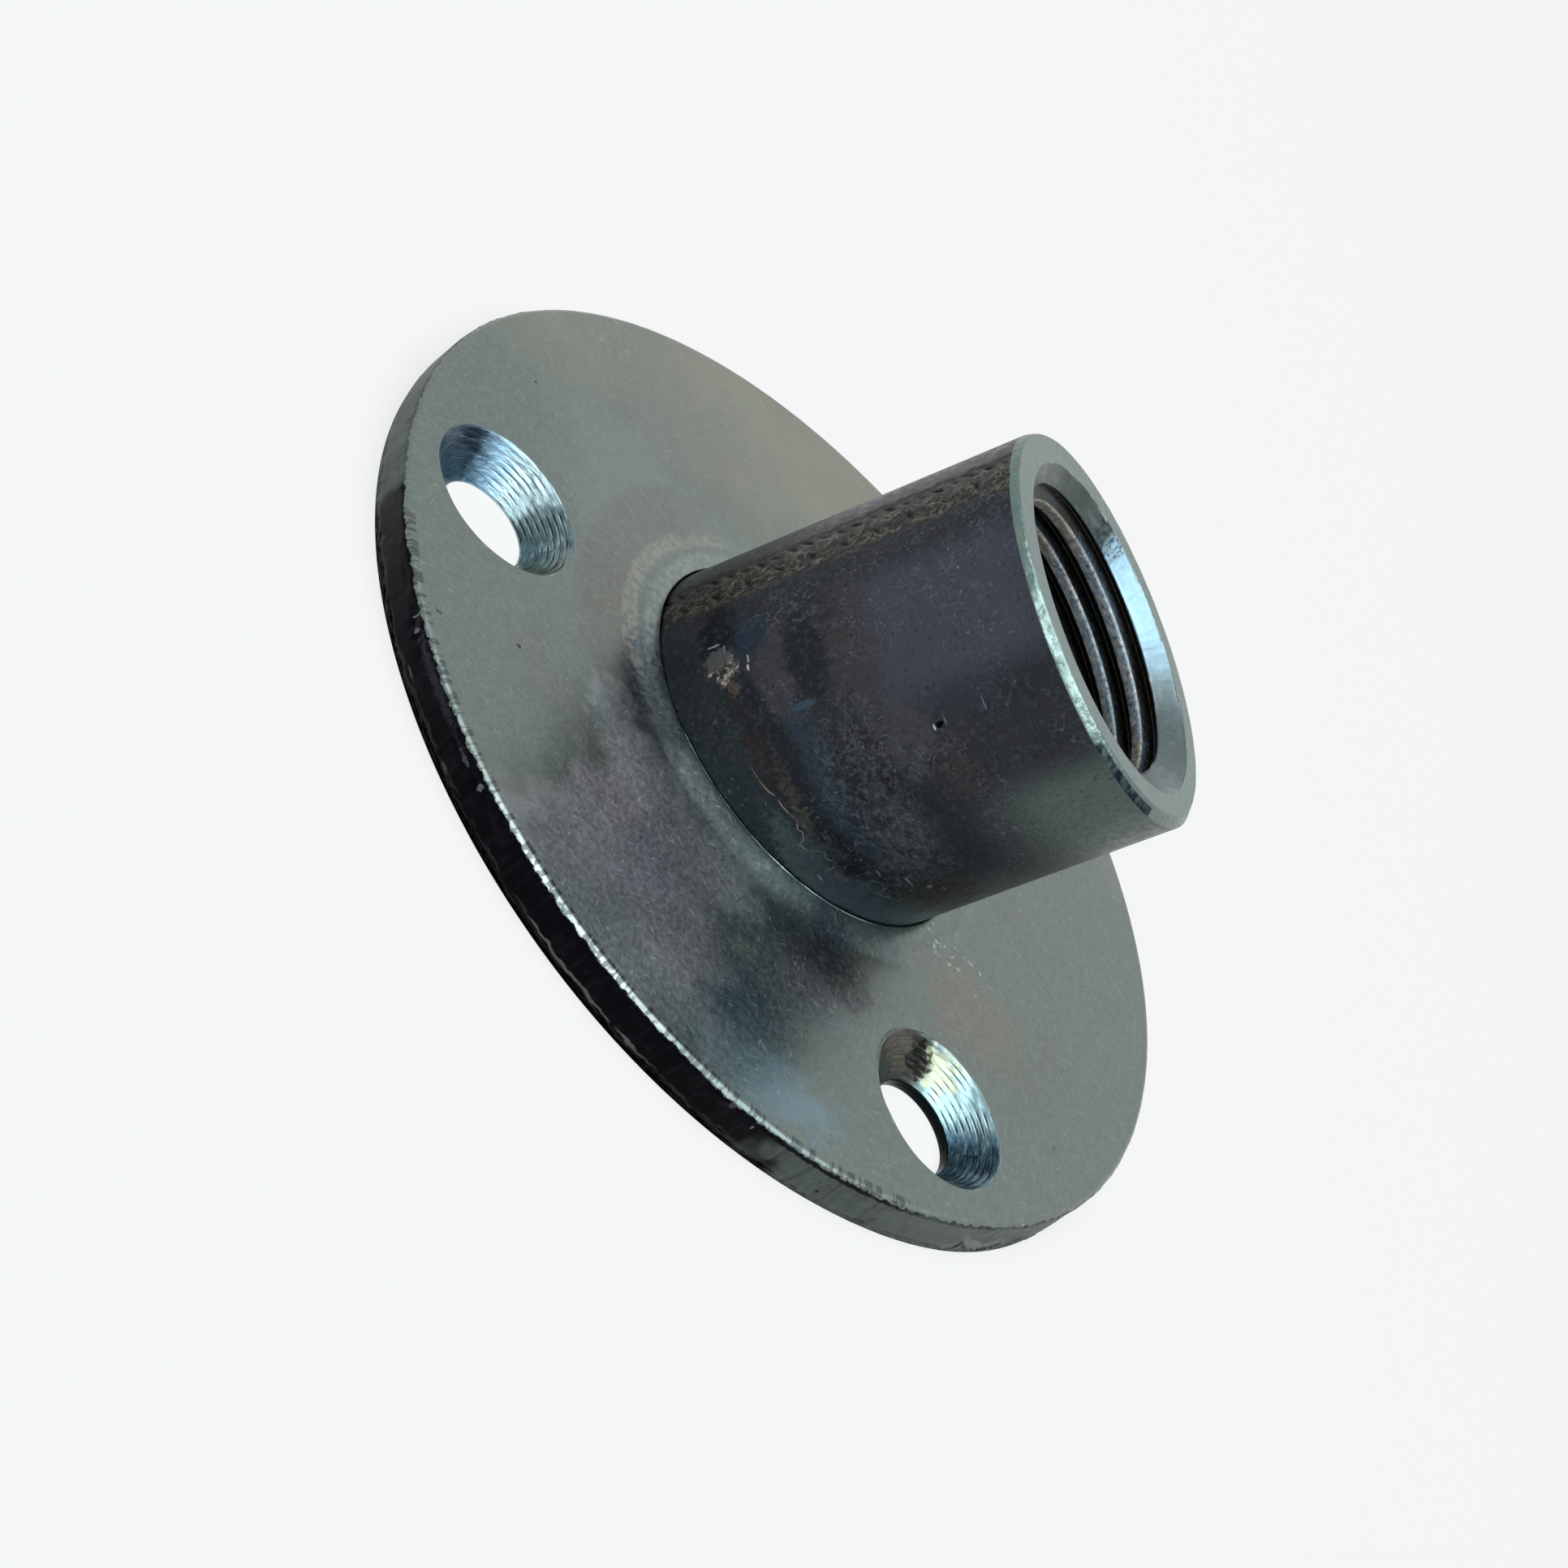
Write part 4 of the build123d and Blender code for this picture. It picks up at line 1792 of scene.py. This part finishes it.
@dataclass(frozen=True)
class PlatedTube:
    """Zinc over drawn tube that was turned, clamped and welded.

    The eye sees a dark violet-grey skin, speckled and bruised, with heat-stained patches by the root.
    A paler violet painted highlight lies high on the side towards the camera, painted shade lies in
    the crease at the root, and bluish painted reflections of the plate lie above the crease and
    along the root.
    """

    metal: str = "#2E3136"
    violet: str = "#393B43"
    lilac_highlight: str = "#484C57"
    brown: str = "#3A3637"
    green: str = "#56625D"
    soot: str = "#1C1D20"
    ash: str = "#494D54"
    bright: str = "#77777A"
    spark: str = "#A8A297"
    flash: str = "#8F897F"
    stains_and_painted_light: tuple[Mark, ...] = (
        Mark((-147, 9.4), (3.8, 1.7), "#443E41", 0.8, 0.6, 1.1),
        Mark((-92, 7.7), (3.4, 1.8), "#484D52", 0.7, 0.5, 1),
        # Painted reflection: this mark and the one at (-60, 2.2) paint the plate's bluish reflection along
        # the root.
        Mark((-50, 3), (4, 2.4), "#5A696F", 0.8, 0.3, 0.9),
        Mark((-54, 10.5), (2.6, 1.8), "#4A4A49", 0.7, 0.5, 1),
        Mark((-120, 11.2), (2.6, 1.6), "#45454B", 0.8, 0.6, 1.1),
        Mark((-103, 13.2), (1.6, 1.3), "#40393A", 0.6, 0.5, 1.1),
        Mark((-66, 7.2), (3.4, 2), "#2B2829", 0.85, 0.4, 0.9),
        Mark((-149, 4.2), (3, 1.2), "#454247", 0.85, 0.3, 0.8),
        Mark((-161.5, 3.1), (1.5, 1.3), "#2A3542", 0.9, 0.3, 0.8),
        Mark((-167, 0.8), (2.4, 1.2), "#15171A", 0.8, 0.3, 0.8),
        Mark((-149.5, 6.5), (3, 1.3), "#282B2F", 0.95, 0.15),
        Mark((-136.3, 5.6), (0.25, 0.8), "#434F5D", 0.9, 0.3, 0.6),
        Mark((-60, 2.2), (7, 1.8), "#4C5C66", 0.9, 0.3, 0.9),
    )
    root_reflections: tuple[Mark, ...] = (
        # Painted reflections of the plate: bluish paler marks along the root.
        Mark((-84, 1.6), (4.8, 1.2), "#566468", 0.85, 0.3, 0.9),
        Mark((-98, 0.9), (3, 0.7), "#4E5B60", 0.8, 0.4, 0.9),
    )
    sparks: tuple[Mark, ...] = (
        Mark((-118.4, 13.4), (0.26, 0.24), "#0B0C0E", 1, 0.4, 0.4),
        Mark((-118.2, 13), (0.2, 0.07), "#B4BABA", 1, 0.2, 0.4),
        Mark((-119, 13.8), (0.3, 0.06), "#62676E"),
        Mark((-119.6, 16.5), (0.45, 0.06), "#62666E"),
        Mark((-76.4, 6.2), (0.48, 0.08), "#7B7D7C", 1, 0.4),
        Mark((-83.4, 4.95), (0.3, 0.06), "#7C8482", 0.9, 0.2),
        Mark((-70.4, 7), (0.17, 0.15), "#7B7776", 1, 0.4),
        Mark((-66.7, 7.6), (0.28, 0.08), "#6E6B68", 1, 0.4),
        Mark((-89.5, 1.5), (0.3, 0.08), "#8E9CA2", 1, 0.2),
        Mark((-86.8, 2.7), (0.5, 0.28), "#66665F", 0.7, 0.6),
        Mark((-90.8, 2.5), (0.07, 0.45), "#7B7468", 0.8),
        Mark((-154.6, 2.72), (0.3, 0.07), "#A39E96", 1, 0.4, 0.4),
        Mark((-152, 2.62), (0.22, 0.09), "#B5B0A8", 1, 0.4, 0.4),
        Mark((-157.8, 0.7), (0.75, 0.95), "#575757"),
        Mark((-147.8, 1.4), (0.5, 0.4), "#57504B", 0.8, 0.5, 0.6),
        Mark((-162.2, 0.5), (0.08, 0.42), "#8E949E", 0.9, 0.2),
        Mark((-160.4, 1.2), (0.3, 0.07), "#7C828A", 0.8, 0.4),
    )
    crease: tuple[tuple[float, float], ...] = (
        (-152, 1.9), (-143, 2.7), (-137, 3.3), (-127, 4), (-118, 4), (-110, 3.8), (-100, 4.1),
        (-92, 4.7), (-86, 5.2), (-79, 6.3), (-70, 7),
    )
    flash_line: tuple[tuple[float, float], ...] = (
        (-150, 0.6), (-135, 0.9), (-126, 0.9), (-121.6, 1.1), (-118.2, 1.37), (-116.5, 1.68),
        (-113, 1.78), (-110, 2.04), (-108.2, 2.24), (-105.6, 1.97), (-104.5, 2.2), (-102.1, 1.96),
        (-101.5, 1.56), (-99.1, 1.8), (-96.7, 2.76), (-94.6, 2.6), (-92.1, 2.96), (-89.5, 2.1),
        (-85, 2.65), (-81.3, 3.7), (-77, 3.75), (-72, 4.3), (-66, 4.7),
    )

    def build(self) -> bpy.types.Material:
        """Makes the material.

        Returns:
            The material.
        """
        canvas = Canvas("zinc_plated_drawn_tube")
        patches, overlap, between = canvas.patches, canvas.overlap, canvas.between
        arc, coat = canvas.arc, canvas.coat
        parts = canvas.add(SPLIT, (canvas.strip,))
        around, up = parts["X"], parts["Y"]
        pits = patches(0.26, 0.58, 0.7, 0.45)
        nicked = patches(5.0, 0.45, 0.6)
        salt = overlap(patches(0.22, 0.62, 0.7, 0.6), nicked)
        ash = patches(0.35, 0.48, 0.72, 0.4)
        bruised = overlap(arc(around, -119, -80, 4.0), between(up, 5.8, 8.8, 1.6))
        layers = [
            (patches(5.0, 0.4, 0.65, 0.5), self.violet),
            (patches(2.6, 0.5, 0.7, 0.5), self.brown),
            # Painted highlight: a paler lilac band high on the side towards the camera.
            coat(self.lilac_highlight, arc(around, -158, -134, 3.0), between(up, 12.5, 20.0, 5.0, 0.8)),
            coat(self.green, arc(around, -86, -30, 3.5), between(up, 18.0, 26.0, 7.0, 0.95)),
        ]
        layers += self._root(canvas, around, up)
        layers += canvas.marks(self.stains_and_painted_light, Chart.STRIP)
        layers += [
            (ash, self.ash),
            canvas.flecks(bruised, "#565A61", 0.4, 0.48, 0.66, 0.5),
            canvas.flecks(bruised, "#2A2628", 1.0, 0.48, 0.62, 0.55),
            coat("#6A7076", bruised, canvas.scribble(0.9, 0.05, 0.22, canvas.strip)),
            coat("#5C6068", nicked, canvas.scribble(1.3, 0.03, 0.4, canvas.strip)),
            (pits, self.soot),
            (salt, self.bright),
            coat(
                "#747B89",
                arc(around, -159, -152, 0.8),
                between(up, 12.5, 20.0, 2.0),
                patches(0.24, 0.66, 0.72),
            ),
            coat(
                "#4C545B",
                canvas.spot(Mark((-166.0, 6.4), (1.8, 1.9), self.ash, 0.9, 0.4, 0.7), Chart.STRIP),
                patches(0.3, 0.52, 0.66),
            ),
        ]
        layers += self._scar(canvas) + self._jaw_strip(canvas, around)
        layers += canvas.marks(self.sparks, Chart.STRIP)
        colour = canvas.paint(self.metal, layers)
        roughness = canvas.level(
            0.34, [(patches(0.5, 0.3, 0.7), 0.14), (salt, 0.2), (pits, 0.1), (bruised, 0.08)]
        )
        relief = canvas.level(
            0.0,
            [
                (pits, -0.012),
                (patches(0.25, 0.2, 0.8), 0.008),
                (patches(0.7, 0.3, 0.7), 0.012),
                (overlap(bruised, patches(0.45, 0.3, 0.7)), 0.05),
            ],
        )
        return canvas.shade(colour, roughness, relief)

    def _root(self, canvas: Canvas, around: Socket, up: Socket) -> list[Layer]:
        """Lays the heat tinting, the crease with painted shade in it, the bluish painted reflection of the
        plate above the crease and along the root, and the thin line of flash above the weld.

        Args:
            canvas: Canvas of the material.
            around: Distance round the strip.
            up: Height on it.

        Returns:
            Their layers.
        """
        patches, between, arc, coat = canvas.patches, canvas.between, canvas.arc, canvas.coat
        over = canvas.off_course(around, up, self.crease)
        wander = patches(1.0, 0.25, 0.75, 0.4)
        over = canvas.add(MATH, (over, wander), operation="ADD")[0]
        off_flash = canvas.off_course(around, up, self.flash_line)
        crease_shade = arc(around, -149, -72, 1.2)
        flashed = arc(around, -118, -94, 2.5)
        bubbles = arc(around, -81, -68, 0.3)
        line = between(off_flash, -0.02, 0.03, 0.04)
        breaks = patches(0.8, 0.35, 0.5)
        layers = [
            # Painted reflection of the plate in the bluish band above the crease, and painted shade in the
            # crease.
            coat("#343F4B", arc(around, -136, -88, 5.0), between(over, 0.5, 1.6, 1.2, 0.9)),
            coat("#272B30", crease_shade, between(over, -1.6, 0.2, 0.7, 0.85)),
            coat(
                "#33302D",
                arc(around, -146, -95, 1.6),
                between(over, -3.0, -0.9, 0.5),
                patches(0.9, 0.3, 0.65, 0.8),
            ),
            coat(
                "#474440",
                canvas.spot(Mark((-112.0, 2.65), (3.2, 0.45), self.ash, 1.0, 0.5, 0.6), Chart.STRIP),
                patches(0.4, 0.35, 0.6, 0.9),
            ),
            coat("#2E373A", arc(around, -150, -64, 3.0), between(off_flash, -9.0, -0.12, 0.25, 0.8)),
            coat(
                "#5B6F6E",
                arc(around, -140, -64, 1.5),
                between(off_flash, -9.0, -0.25, 0.2),
                patches(0.4, 0.62, 0.7, 0.6),
            ),
        ]
        layers += canvas.marks(self.root_reflections, Chart.STRIP)
        layers += [coat(self.flash, line, flashed, breaks), coat("#7B7F78", line, bubbles, breaks)]
        for centre, reach in (((-78.6, 4.15), (0.72, 0.48)), ((-71.8, 4.65), (0.76, 0.33))):
            outer = Mark(centre, reach, "#6C7069", 0.8, 0.15, 0.12)
            inner = Mark(centre, (reach[0] - 0.09, reach[1] - 0.07), "#2D3333", 1.0, 0.15, 0.2)
            layers += canvas.marks((outer, inner), Chart.STRIP)
        return layers

    def _scar(self, canvas: Canvas) -> list[Layer]:
        """Lays the crust of weld spatter beside the root.

        Args:
            canvas: Canvas of the material.

        Returns:
            Its layers.
        """
        scar = canvas.spot(Mark((-153.8, 0.95), (0.85, 1.1), self.bright, 1.0, 0.4, 0.4), Chart.STRIP)
        return [
            canvas.flecks(scar, "#77706A", 0.6, 0.4, 0.6, 0.8),
            canvas.flecks(scar, self.spark, 0.3, 0.5, 0.6),
            canvas.flecks(scar, "#3C3733", 0.25, 0.54, 0.62),
        ]

    def _jaw_strip(self, canvas: Canvas, around: Socket) -> list[Layer]:
        """Lays the bruised strip that the clamping jaw left.

        Args:
            canvas: Canvas of the material.
            around: Distance round the strip.

        Returns:
            Its layers.
        """
        pressed = canvas.add("ShaderNodeAttribute", attribute_name=PRESSED)["Fac"]
        strip = canvas.arc(around, -193, -176.8, 0.4)
        toothed = canvas.arc(around, -189.5, -177.5, 0.6)
        return [
            canvas.flecks(strip, "#2D2C2A", 1.2, 0.2, 0.4, 0.9),
            canvas.flecks(strip, "#37352F", 0.8, 0.5, 0.7, 0.5),
            canvas.flecks(toothed, "#57534A", 0.35, 0.52, 0.68, 0.45),
            canvas.flecks(toothed, "#171716", 0.4, 0.48, 0.64, 0.7),
            canvas.coat(
                "#6F675B",
                toothed,
                canvas.scribble(0.6, 0.09, 0.7, canvas.strip),
                canvas.patches(0.9, 0.4, 0.6),
            ),
            canvas.coat(
                "#716C61", canvas.between(pressed, -2.0, -0.45, 0.3, 0.8), canvas.patches(0.3, 0.3, 0.6)
            ),
            (canvas.between(pressed, 0.45, 2.0, 0.3, 0.9), "#0C0C0E"),
        ]


@dataclass(frozen=True)
class TurnedEnd:
    """Zinc over the lathe-faced end of the socket and its rough outer chamfer.

    The eye sees smooth grey-green with faint rings of the tool, and a broken edge whose chamfer carries a
    pale painted highlight on its lit side and painted shade beyond it.
    """

    metal: str = "#6B7D7A"
    pale: str = "#879B97"
    dark: str = "#131F2A"
    reach: float = 22.2
    scratches: tuple[Mark, ...] = (
        Mark((173.5, 22.2), (0.08, 0.5), "#252C2C", 0.9, 0.2),
        Mark((105, 22.2), (0.07, 0.5), "#39403F", 0.7, 0.2),
    )

    def build(self) -> bpy.types.Material:
        """Makes the material.

        Returns:
            The material.
        """
        canvas = Canvas("zinc_plated_turned_end")
        parts = canvas.add(SPLIT, (canvas.strip,))
        around, up = parts["X"], parts["Y"]
        chamfer = canvas.between(up, 10.0, self.reach - 0.04, 0.02)
        lit = canvas.arc(around, -141, -98, 0.4)
        unlit = canvas.arc(around, -97, -66, 0.4)
        colour = canvas.paint(
            self.metal,
            [
                (canvas.patches(5.0, 0.4, 0.7, 0.3), "#748079"),
                (canvas.patches(0.3, 0.5, 0.8, 0.2), "#85948F"),
                canvas.flecks(chamfer, "#5D6F6C", 0.6, 0.35, 0.65, 0.5),
                # Painted highlight on the chamfer's lit side, and painted shade on the arc beyond it.
                canvas.coat(self.pale, chamfer, lit, canvas.patches(0.6, 0.3, 0.6)),
                canvas.coat("#4E5D5B", chamfer, lit, canvas.patches(0.4, 0.55, 0.7, 0.7)),
                canvas.coat(
                    self.dark,
                    canvas.between(up, 10.0, self.reach - 0.22, 0.08),
                    unlit,
                    canvas.patches(1.2, 0.2, 0.5),
                ),
                (canvas.streaks(0.12, 1.2, 70, 0.75, 0.79, 0.6), "#2B3232"),
            ],
        )
        roughness = canvas.level(0.3, [(canvas.patches(0.4, 0.3, 0.7), 0.08)])
        relief = canvas.level(
            0.0,
            [
                (canvas.patches(0.3, 0.2, 0.8), 0.001),
                (canvas.overlap(chamfer, canvas.patches(0.5, 0.2, 0.8)), 0.05),
            ],
        )
        return canvas.shade(colour, roughness, relief)


@dataclass(frozen=True)
class CutThread:
    """Zinc in the tapped bore and on the countersunk mouth.

    The eye sees a steel-blue cone with chatter across it, dull grey-brown crests and dark grooves.
    """

    metal: str = "#5B686A"
    shaded: str = "#4C5755"
    cone_lit: str = "#7C97A5"
    cone_bright: str = "#A6C2D2"
    crest: str = "#8E8A82"
    crest_blue: str = "#8896A2"
    flank: str = "#4A5A68"
    groove: str = "#35332D"
    burr: str = "#D6D6D0"
    cone_radius: float = 9.3155

    def build(self) -> bpy.types.Material:
        """Makes the material.

        Returns:
            The material.
        """
        canvas = Canvas("zinc_plated_tapped_bore", self.cone_radius)
        patches, overlap, arc = canvas.patches, canvas.overlap, canvas.arc
        flecks, coat = canvas.flecks, canvas.coat
        groove_depth = canvas.add("ShaderNodeAttribute", attribute_name="groove")["Fac"]
        cone = canvas.add("ShaderNodeAttribute", attribute_name="cone")["Fac"]
        burr = canvas.add("ShaderNodeAttribute", attribute_name="burr")["Fac"]
        around = canvas.add(SPLIT, (canvas.strip,))["X"]
        across = canvas.stretched(canvas.strip, (1.0, 0.25, 0.0))
        along = canvas.stretched(canvas.strip, (0.15, 1.0, 0.0))
        thread = canvas.add(MATH, (1.0, cone), operation="SUBTRACT")[0]
        crest = overlap(thread, canvas.between(groove_depth, -1.0, 0.06, 0.1))
        blued = arc(around, 5, 80, 4.0)
        wander = patches(0.7, 0.2, 0.8, 1.2, across)
        edge = canvas.add(MATH, (around, wander), operation="ADD")[0]
        lit = overlap(cone, arc(edge, 53, 200, 4.2), arc(edge, 20, 84, 0.8))
        shaded = overlap(cone, arc(edge, 87, 178, 0.8))
        torn = overlap(cone, arc(edge, 83, 95, 0.6))
        mouthward = canvas.between(groove_depth, 0.1, 0.55, 0.1)
        colour = canvas.paint(
            self.groove,
            [
                flecks(thread, "#39404A", 1.5, 0.45, 0.7, 0.5, along),
                flecks(thread, "#37322C", 1.1, 0.45, 0.7, 0.5, along),
                coat(self.flank, thread, mouthward, patches(0.8, 0.35, 0.65, 0.7, along)),
                (cone, self.metal),
                (shaded, self.shaded),
                flecks(shaded, "#39433F", 0.9, 0.45, 0.7, 0.5, across),
                (lit, self.cone_lit),
                flecks(lit, self.cone_bright, 1.2, 0.45, 0.65, 0.7, along),
                flecks(cone, "#8F9FA2", 0.3, 0.5, 0.75, 0.25, along),
                flecks(cone, "#39444A", 0.3, 0.5, 0.75, 0.25, across),
                flecks(torn, "#27343C", 0.3, 0.45, 0.6, 0.8, canvas.strip),
                (crest, self.crest),
                coat(self.crest_blue, crest, blued),
                flecks(crest, "#BDBAB0", 0.5, 0.45, 0.65, 0.6, canvas.strip),
                flecks(crest, "#4A4843", 0.4, 0.52, 0.68, 0.6, canvas.strip),
                coat(self.burr, burr, thread, patches(0.9, 0.42, 0.58, 0.7, canvas.strip)),
            ],
        )
        roughness = canvas.level(0.26, [(patches(0.4, 0.3, 0.7), 0.12), (crest, 0.2), (thread, 0.1)])
        relief = canvas.level(
            0.0,
            [
                (patches(0.5, 0.2, 0.8, 1.0, along), 0.006),
                (overlap(thread, patches(0.3, 0.2, 0.8)), 0.03),
            ],
        )
        return canvas.shade(colour, roughness, relief)


@dataclass(frozen=True)
class RawBore:
    """Zinc over the scaled inside of the tube, where nothing was cut. The eye sees dull dark grey."""

    metal: str = "#3E4144"

    def build(self) -> bpy.types.Material:
        """Makes the material.

        Returns:
            The material.
        """
        canvas = Canvas("zinc_plated_raw_tube")
        scale = canvas.patches(0.8, 0.4, 0.7)
        colour = canvas.paint(self.metal, [(scale, "#55524D"), (canvas.patches(0.3, 0.6, 0.7), "#26272A")])
        roughness = canvas.level(0.45, [(scale, 0.15)])
        return canvas.shade(colour, roughness, canvas.level(0.0, [(scale, 0.01)]))


@dataclass
class Studio:
    """Pale floor, soft light and the camera at the photograph's angle.

    Attributes:
        backdrop: Colour of floor and background.
        backdrop_share: Share of the floor's colour that no shadow darkens.
        fill: Strength of the even light from all round.
        key: Strength of the lamp.
        key_tint: Colour of the lamp.
        key_angle: How broad the lamp looks from the object, in degrees.
        key_direction: Direction from the object to the lamp.
        floor_half: Half of the floor's side.
        floor_height: Height of the floor, just under the plate's back.
        focal_pixels: Focal length as a number of the photograph's pixels.
        frame_pixels: Width of the photograph in pixels.
        sensor: Width of the camera's sensor.
        clip: Nearest and farthest distance that the camera sees.
        eye: Place of the camera.
        right: Direction of the photograph's rows.
        down: Direction of its columns.
    """

    backdrop: str = "#F6F6F6"
    backdrop_share: float = 0.8
    fill: float = 0.12
    key: float = 3.0
    key_tint: tuple[float, float, float] = (0.88, 0.97, 1.0)
    key_angle: float = 76.0
    key_direction: tuple[float, float, float] = (0.05, -0.17, 0.98)
    floor_half: float = 3000.0
    floor_height: float = -0.02
    focal_pixels: float = 3939.42
    frame_pixels: float = 1932.0
    sensor: float = 36.0
    clip: tuple[float, float] = (10.0, 10000.0)
    eye: tuple[float, float, float] = (-92.989, -161.547, 103.991)
    right: tuple[float, float, float] = (0.69726733, 0.05545467, 0.71466299)
    down: tuple[float, float, float] = (0.56585446, -0.6546155, -0.50128562)

    def build(self) -> None:
        """Sets up the floor, world, lamp and camera."""
        self._world()
        self._floor()
        self._lamp()
        self._camera()

    def _seen(self, tree: bpy.types.NodeTree) -> Socket:
        """Finds the rays that show the background, from the camera or off metal.

        Args:
            tree: Node tree of the world or the floor.

        Returns:
            An output that is 1 on those rays.
        """
        add = partial(add_node, tree)
        path = add("ShaderNodeLightPath")
        total = add(MATH, (path["Is Camera Ray"], path["Is Glossy Ray"]), operation="ADD")
        return add(MATH, (total[0], path["Is Transmission Ray"]), operation="ADD", use_clamp=True)[0]

    def _world(self) -> None:
        """Gives the world a pale backdrop and an even, softer light."""
        world = bpy.data.worlds.new("studio_world")
        bpy.context.scene.world = world
        world.use_nodes = True
        tree = world.node_tree
        tree.nodes.clear()
        add = partial(add_node, tree)
        light = add("ShaderNodeBackground", {"Color": (1.0, 1.0, 1.0, 1.0), "Strength": self.fill})
        shown = add("ShaderNodeBackground", {"Color": linear(self.backdrop), "Strength": 1.0})
        mixed = add("ShaderNodeMixShader", (self._seen(tree), light[0], shown[0]))
        add("ShaderNodeOutputWorld", {"Surface": mixed[0]})

    def _floor(self) -> None:
        """Lays the floor just under the plate."""
        half, height = self.floor_half, self.floor_height
        mesh = bpy.data.meshes.new("studio_floor")
        sides = ((-half, -half), (half, -half), (half, half), (-half, half))
        corners = [(MM * x, MM * y, MM * height) for x, y in sides]
        mesh.from_pydata(corners, [], [(0, 1, 2, 3)])
        floor = bpy.data.objects.new("studio_floor", mesh)
        bpy.context.scene.collection.objects.link(floor)
        paper = bpy.data.materials.new("matt_background_paper")
        paper.use_nodes = True
        tree = paper.node_tree
        tree.nodes.clear()
        add = partial(add_node, tree)
        matt = add("ShaderNodeBsdfDiffuse", {"Color": linear(self.backdrop), "Roughness": 1.0})
        glow = add("ShaderNodeEmission", {"Color": linear(self.backdrop), "Strength": 1.0})
        share = add(MATH, (self._seen(tree), self.backdrop_share), operation="MULTIPLY")
        mixed = add("ShaderNodeMixShader", (share[0], matt[0], glow[0]))
        add("ShaderNodeOutputMaterial", {"Surface": mixed[0]})
        mesh.materials.append(paper)

    def _lamp(self) -> None:
        """Hangs one broad lamp high over the camera's side."""
        lamp = bpy.data.lights.new("overhead_softbox", "SUN")
        lamp.energy = self.key
        lamp.color = self.key_tint
        lamp.angle = math.radians(self.key_angle)
        holder = bpy.data.objects.new("overhead_softbox", lamp)
        holder.rotation_mode = "QUATERNION"
        holder.rotation_quaternion = Vector(self.key_direction).to_track_quat("Z", "Y")
        bpy.context.scene.collection.objects.link(holder)

    def _camera(self) -> None:
        """Puts the camera where the photograph was taken from."""
        data = bpy.data.cameras.new("photograph_view")
        data.sensor_width = self.sensor
        data.lens = self.focal_pixels / self.frame_pixels * self.sensor
        data.clip_start, data.clip_end = (distance * MM for distance in self.clip)
        camera = bpy.data.objects.new("photograph_view", data)
        right, up = Vector(self.right), -Vector(self.down)
        frame = Matrix((right, up, right.cross(up))).transposed().to_4x4()
        camera.matrix_world = Matrix.Translation(Vector(self.eye) * MM) @ frame
        bpy.context.scene.collection.objects.link(camera)
        bpy.context.scene.camera = camera


def main() -> None:
    """Builds the studio and the two pieces, and writes down how large the result is."""
    logging.basicConfig(level=logging.INFO, format="%(name)s: %(message)s")
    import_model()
    scene = bpy.context.scene
    scene.view_settings.view_transform = "Standard"
    Studio().build()
    plate = FlangePlate().build([PlatedSheet().build(), CutCountersink().build()])
    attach(plate, "root")
    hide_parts("flange_plate")
    socket = ThreadedSocket().build(
        [PlatedTube().build(), TurnedEnd().build(), CutThread().build(), RawBore().build()]
    )
    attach(socket, "root")
    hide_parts("threaded_socket")


if __name__ == "__main__":
    main()
